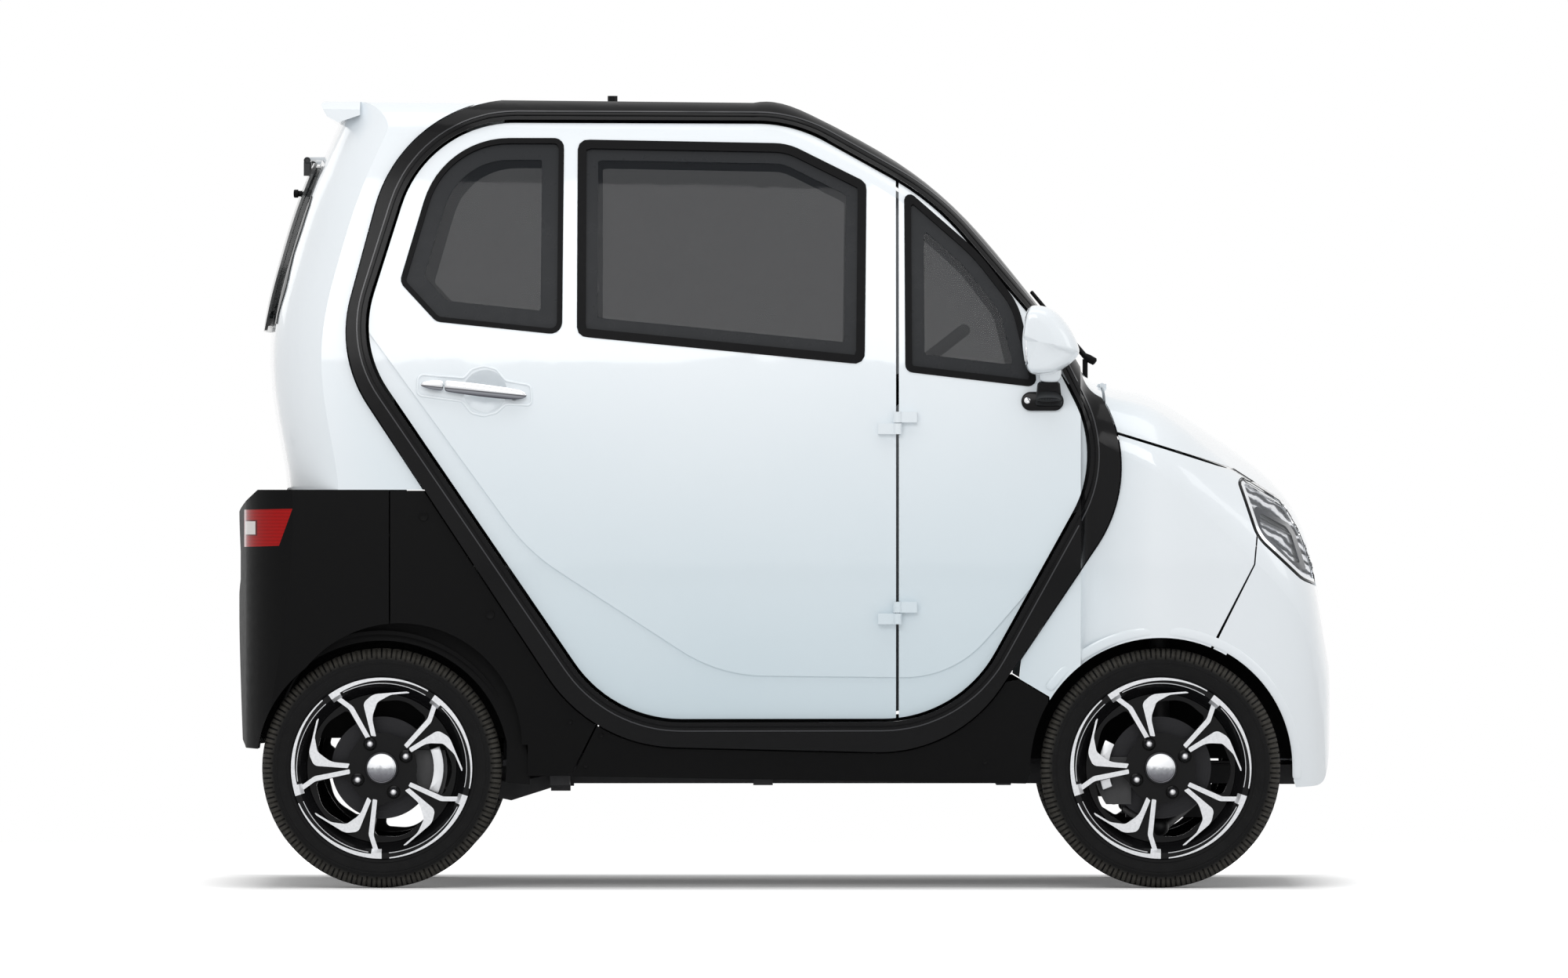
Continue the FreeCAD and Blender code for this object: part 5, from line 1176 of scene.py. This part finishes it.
def padded(name, size, radius, swell, turn, place, channels, axis, depth):
    """A soft pad from a smaller block: remeshed, swollen by pressure, capped, subdivided and stitched."""
    begin()
    bpy.ops.mesh.primitive_cube_add(size=1)
    piece = bpy.context.object
    piece.name = name
    inner = [(s - 2 * swell) * MM for s in size]
    piece.data.transform(Matrix.Diagonal((*inner, 1.0)))
    apply_modifier(piece, "BEVEL", width=radius * MM, segments=4)
    apply_modifier(piece, "REMESH", mode="VOXEL", voxel_size=PAD_VOXEL)
    cloth = piece.modifiers.new("Cloth", "CLOTH")
    cloth.settings.use_pressure = True
    cloth.settings.uniform_pressure_force = PAD_PRESSURE
    cloth.settings.effector_weights.gravity = 0.0
    cloth.point_cache.frame_start = 1
    cloth.point_cache.frame_end = PAD_STEPS
    for step in range(1, PAD_STEPS + 1):
        bpy.context.scene.frame_set(step)
    blown = piece.evaluated_get(bpy.context.evaluated_depsgraph_get())
    places = [vertex.co.copy() for vertex in blown.data.vertices]
    piece.modifiers.remove(cloth)
    bpy.context.scene.frame_set(1)
    for vertex, target in zip(piece.data.vertices, places):
        step = target - vertex.co
        if step.length > swell * MM:
            step = step.normalized() * swell * MM
        vertex.co += step
    apply_modifier(piece, "SUBSURF", levels=1, render_levels=1)
    limits = [s * MM / 2 for s in size]
    for vertex in piece.data.vertices:
        across = [vertex.co[i] / limits[i] for i in range(3)]
        others = [i for i in range(3) if i != axis]
        crown = max(0.0, 1 - across[others[0]] ** 4) * max(0.0, 1 - across[others[1]] ** 4)
        if across[axis] > 0:
            vertex.co[axis] -= limits[axis] * 0.10 * (1 - crown)
            for line_axis, spot, start, end in channels:
                other = [i for i in others if i != line_axis][0]
                away = abs(vertex.co[line_axis] - spot * MM) / STITCH_HALF
                if away < 1 and start * MM <= vertex.co[other] <= end * MM:
                    vertex.co[axis] -= depth * MM * (1 - away) ** 0.7 * min(1.0, max(0.0, across[axis]) * 1.4)
        for i in range(3):
            vertex.co[i] = max(-limits[i] + 0.0004, min(limits[i] - 0.0004, vertex.co[i]))
    piece.data.transform(Matrix.Translation(Vector(place) * MM) @ Matrix.Rotation(math.radians(turn), 4, "Y"))
    leave(piece, seat_leather, "chassis", "upholstery", 60)
    return piece


def middle_of(size, turn, moved):
    """Centre of a turned block that was drawn from x 0 and z 0, then moved."""
    half_x, half_z = size[0] / 2, size[2] / 2
    c, s = math.cos(math.radians(turn)), math.sin(math.radians(turn))
    return (moved[0] + half_x * c + half_z * s, moved[1], moved[2] - half_x * s + half_z * c)


driver_pad = padded("driver_pad", (450, 430, 90), 26, 6, 0, (-120, 0, 555),
                    [(0, 60, -150, 150), (0, -60, -150, 150),
                     (1, 150, -200, 200), (1, -150, -200, 200)], 2, 7)
bench_pad = padded("bench_pad", (370, 760, 90), 24, 6, 0, (-665, 0, 615),
                   [(1, 0, -200, 200), (1, 190, -150, 150), (1, -190, -150, 150), (0, 40, -330, 330)], 2, 7)
BACK_SIZE = (85, 418, 560)
driver_back = padded("driver_back", BACK_SIZE, 26, 6, -10, middle_of(BACK_SIZE, -10, (-342, 0, 595.5)),
                     [(2, 90, -140, 140), (2, 0, -140, 140), (2, -90, -140, 140),
                      (1, 145, -240, 230), (1, -145, -240, 230)], 0, 7)
head_rest = padded("head_rest", (70, 240, 120), 22, 5, -10, middle_of((70, 240, 120), -10, (-442, 0, 1185)),
                   [(2, -30, -90, 90)], 0, 5)
rear_back = padded("rear_back", (80, 760, 480), 24, 6, -8, middle_of((80, 760, 480), -8, (-846, 0, 656.8)),
                   [(1, 0, -200, 200), (2, 70, -330, 330), (2, -30, -330, 330)], 0, 7)
stalks = []
for y in (-60, 60):
    stalk = lathe("rest_stalk", [(0, 0), (6, 0), (6, 122), (0, 122)], 16, "Z")
    place = Matrix.Translation(Vector((-0.392, y * MM, 1.120)))
    stalk.data.transform(place @ Matrix.Rotation(math.radians(-10.4), 4, "Y"))
    stalks.append(stalk)
leave(together("rest_stalks", stalks), chrome, "chassis", "chrome", 40)
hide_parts("seat_cushions")
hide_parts("seat_backs")


# Wiper: slim post, and an arm with a thicker knuckle at its foot.
def rod(name, line, sides=16):
    """A round bar along a line of places with their radii in mm."""
    loops = []
    for k, (x, z, y, radius) in enumerate(line):
        a = Vector(line[max(0, k - 1)][:3])
        b = Vector(line[min(len(line) - 1, k + 1)][:3])
        away = Vector((b.x - a.x, b.z - a.z, b.y - a.y)).normalized()
        first = away.cross(Vector((0, 1, 0))).normalized()
        second = away.cross(first).normalized()
        loops.append([(Vector((x, y, z)) + (first * math.cos(t) + second * math.sin(t)) * radius) * MM
                      for t in (2 * math.pi * i / sides for i in range(sides))])
    return loft(name, loops)


WIPER_LINE = [
    (652, 1083, -42, 4), (650, 1084.5, -42, 8), (636, 1092, -41, 8.5), (628, 1098, -37, 6),
    (575, 1164, 40, 4.5), (521, 1231, 119, 4), (520, 1232, 120, 2)]
POST_LINE = [(0, 1045), (5.5, 1045), (5.5, 1090), (0, 1090)]
wiper = [rod("wiper_arm", WIPER_LINE), lathe("wiper_post", POST_LINE, 20, "Z", (0.63, -0.04, 0))]
wiper = leave(together("wiper_slim", wiper), satin_black, "chassis", "satin_black", 40)
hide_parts("wiper")

# Studio: pale floor, soft lamps, long-lens camera square to the vehicle's right side.
PHOTO_WIDTH = 2000
PHOTO_HEIGHT = 1248
MM_PER_PIXEL = 1.61
WHEEL_PLANE = -0.53
LENS = 400
SENSOR = 36
CENTRE_X = (PHOTO_WIDTH / 2 - 998) * MM_PER_PIXEL * MM
CENTRE_Z = (1133 - PHOTO_HEIGHT / 2) * MM_PER_PIXEL * MM
distance = PHOTO_WIDTH * MM_PER_PIXEL * MM * LENS / SENSOR
camera_data = bpy.data.cameras.new("camera")
camera = bpy.data.objects.new("camera", camera_data)
bpy.context.scene.collection.objects.link(camera)
camera_data.lens = LENS
camera_data.sensor_width = SENSOR
camera_data.clip_end = 200
camera.location = (CENTRE_X, WHEEL_PLANE - distance, CENTRE_Z)
camera.rotation_euler = (math.radians(90), 0, 0)
bpy.context.scene.camera = camera

begin()
bpy.ops.mesh.primitive_grid_add(x_subdivisions=8, y_subdivisions=8, size=14, location=(0, -3, -0.0005))
floor = bpy.context.object
floor.name = "studio_floor"
bpy.ops.object.transform_apply(location=True, rotation=True, scale=True)
floor_finish = Finish("studio_floor", (0.9, 0.9, 0.9), 0.95, Specular_IOR_Level=0.0)
floor_path = floor_finish.tree.nodes.new("ShaderNodeLightPath")
x, y, z = floor_finish.axes()
beside = (x.size() - 1.05).sum("MAXIMUM", y.size() - 0.62)
lift = (beside * 3.0).sum("MAXIMUM", 0.0).sum("MINIMUM", 1.0) * 0.85 + 0.1
floor_finish.set("Emission Color", floor_finish.mix(lift, (0, 0, 0), (1, 1, 1)))
feed(floor_finish.tree, floor_finish.shader.inputs["Emission Strength"],
     Value(floor_finish.tree, floor_path.outputs["Is Camera Ray"]))
floor.data.materials.append(floor_finish.material)
floor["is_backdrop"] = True

world = bpy.data.worlds.new("studio")
bpy.context.scene.world = world
world.use_nodes = True
tree = world.node_tree
background = tree.nodes["Background"]
path = tree.nodes.new("ShaderNodeLightPath")
seen = Value(tree, path.outputs["Is Camera Ray"]).sum("MAXIMUM", Value(tree, path.outputs["Is Glossy Ray"]))
seen = seen.sum("MAXIMUM", Value(tree, path.outputs["Is Transmission Ray"]))
WORLD_LIGHT = 0.6
feed(tree, background.inputs["Strength"], seen * (1 - WORLD_LIGHT) + WORLD_LIGHT)
background.inputs["Color"].default_value = (1, 1, 1, 1)


def lamp(name, place, aim, width, height, watts):
    """A soft rectangular lamp aimed at a point."""
    data = bpy.data.lights.new(name, "AREA")
    data.shape = "RECTANGLE"
    data.size = width
    data.size_y = height
    data.energy = watts
    made = bpy.data.objects.new(name, data)
    bpy.context.scene.collection.objects.link(made)
    made.location = place
    made.rotation_euler = (Vector(aim) - Vector(place)).to_track_quat("-Z", "Y").to_euler()


lamp("top_softbox", (0.0, -1.2, 4.4), (0, -0.2, 0.6), 5.0, 2.6, 52)
lamp("side_softbox", (-1.0, -6.0, 3.4), (0, 0, 0.9), 4.0, 2.0, 84)
lamp("front_softbox", (5.0, -2.0, 2.6), (0.4, 0, 0.8), 2.0, 2.0, 18)
lamp("back_softbox", (-4.5, 3.5, 3.0), (0, 0, 0.8), 2.5, 2.0, 16)

bpy.context.scene.view_settings.view_transform = "Standard"

low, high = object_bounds()
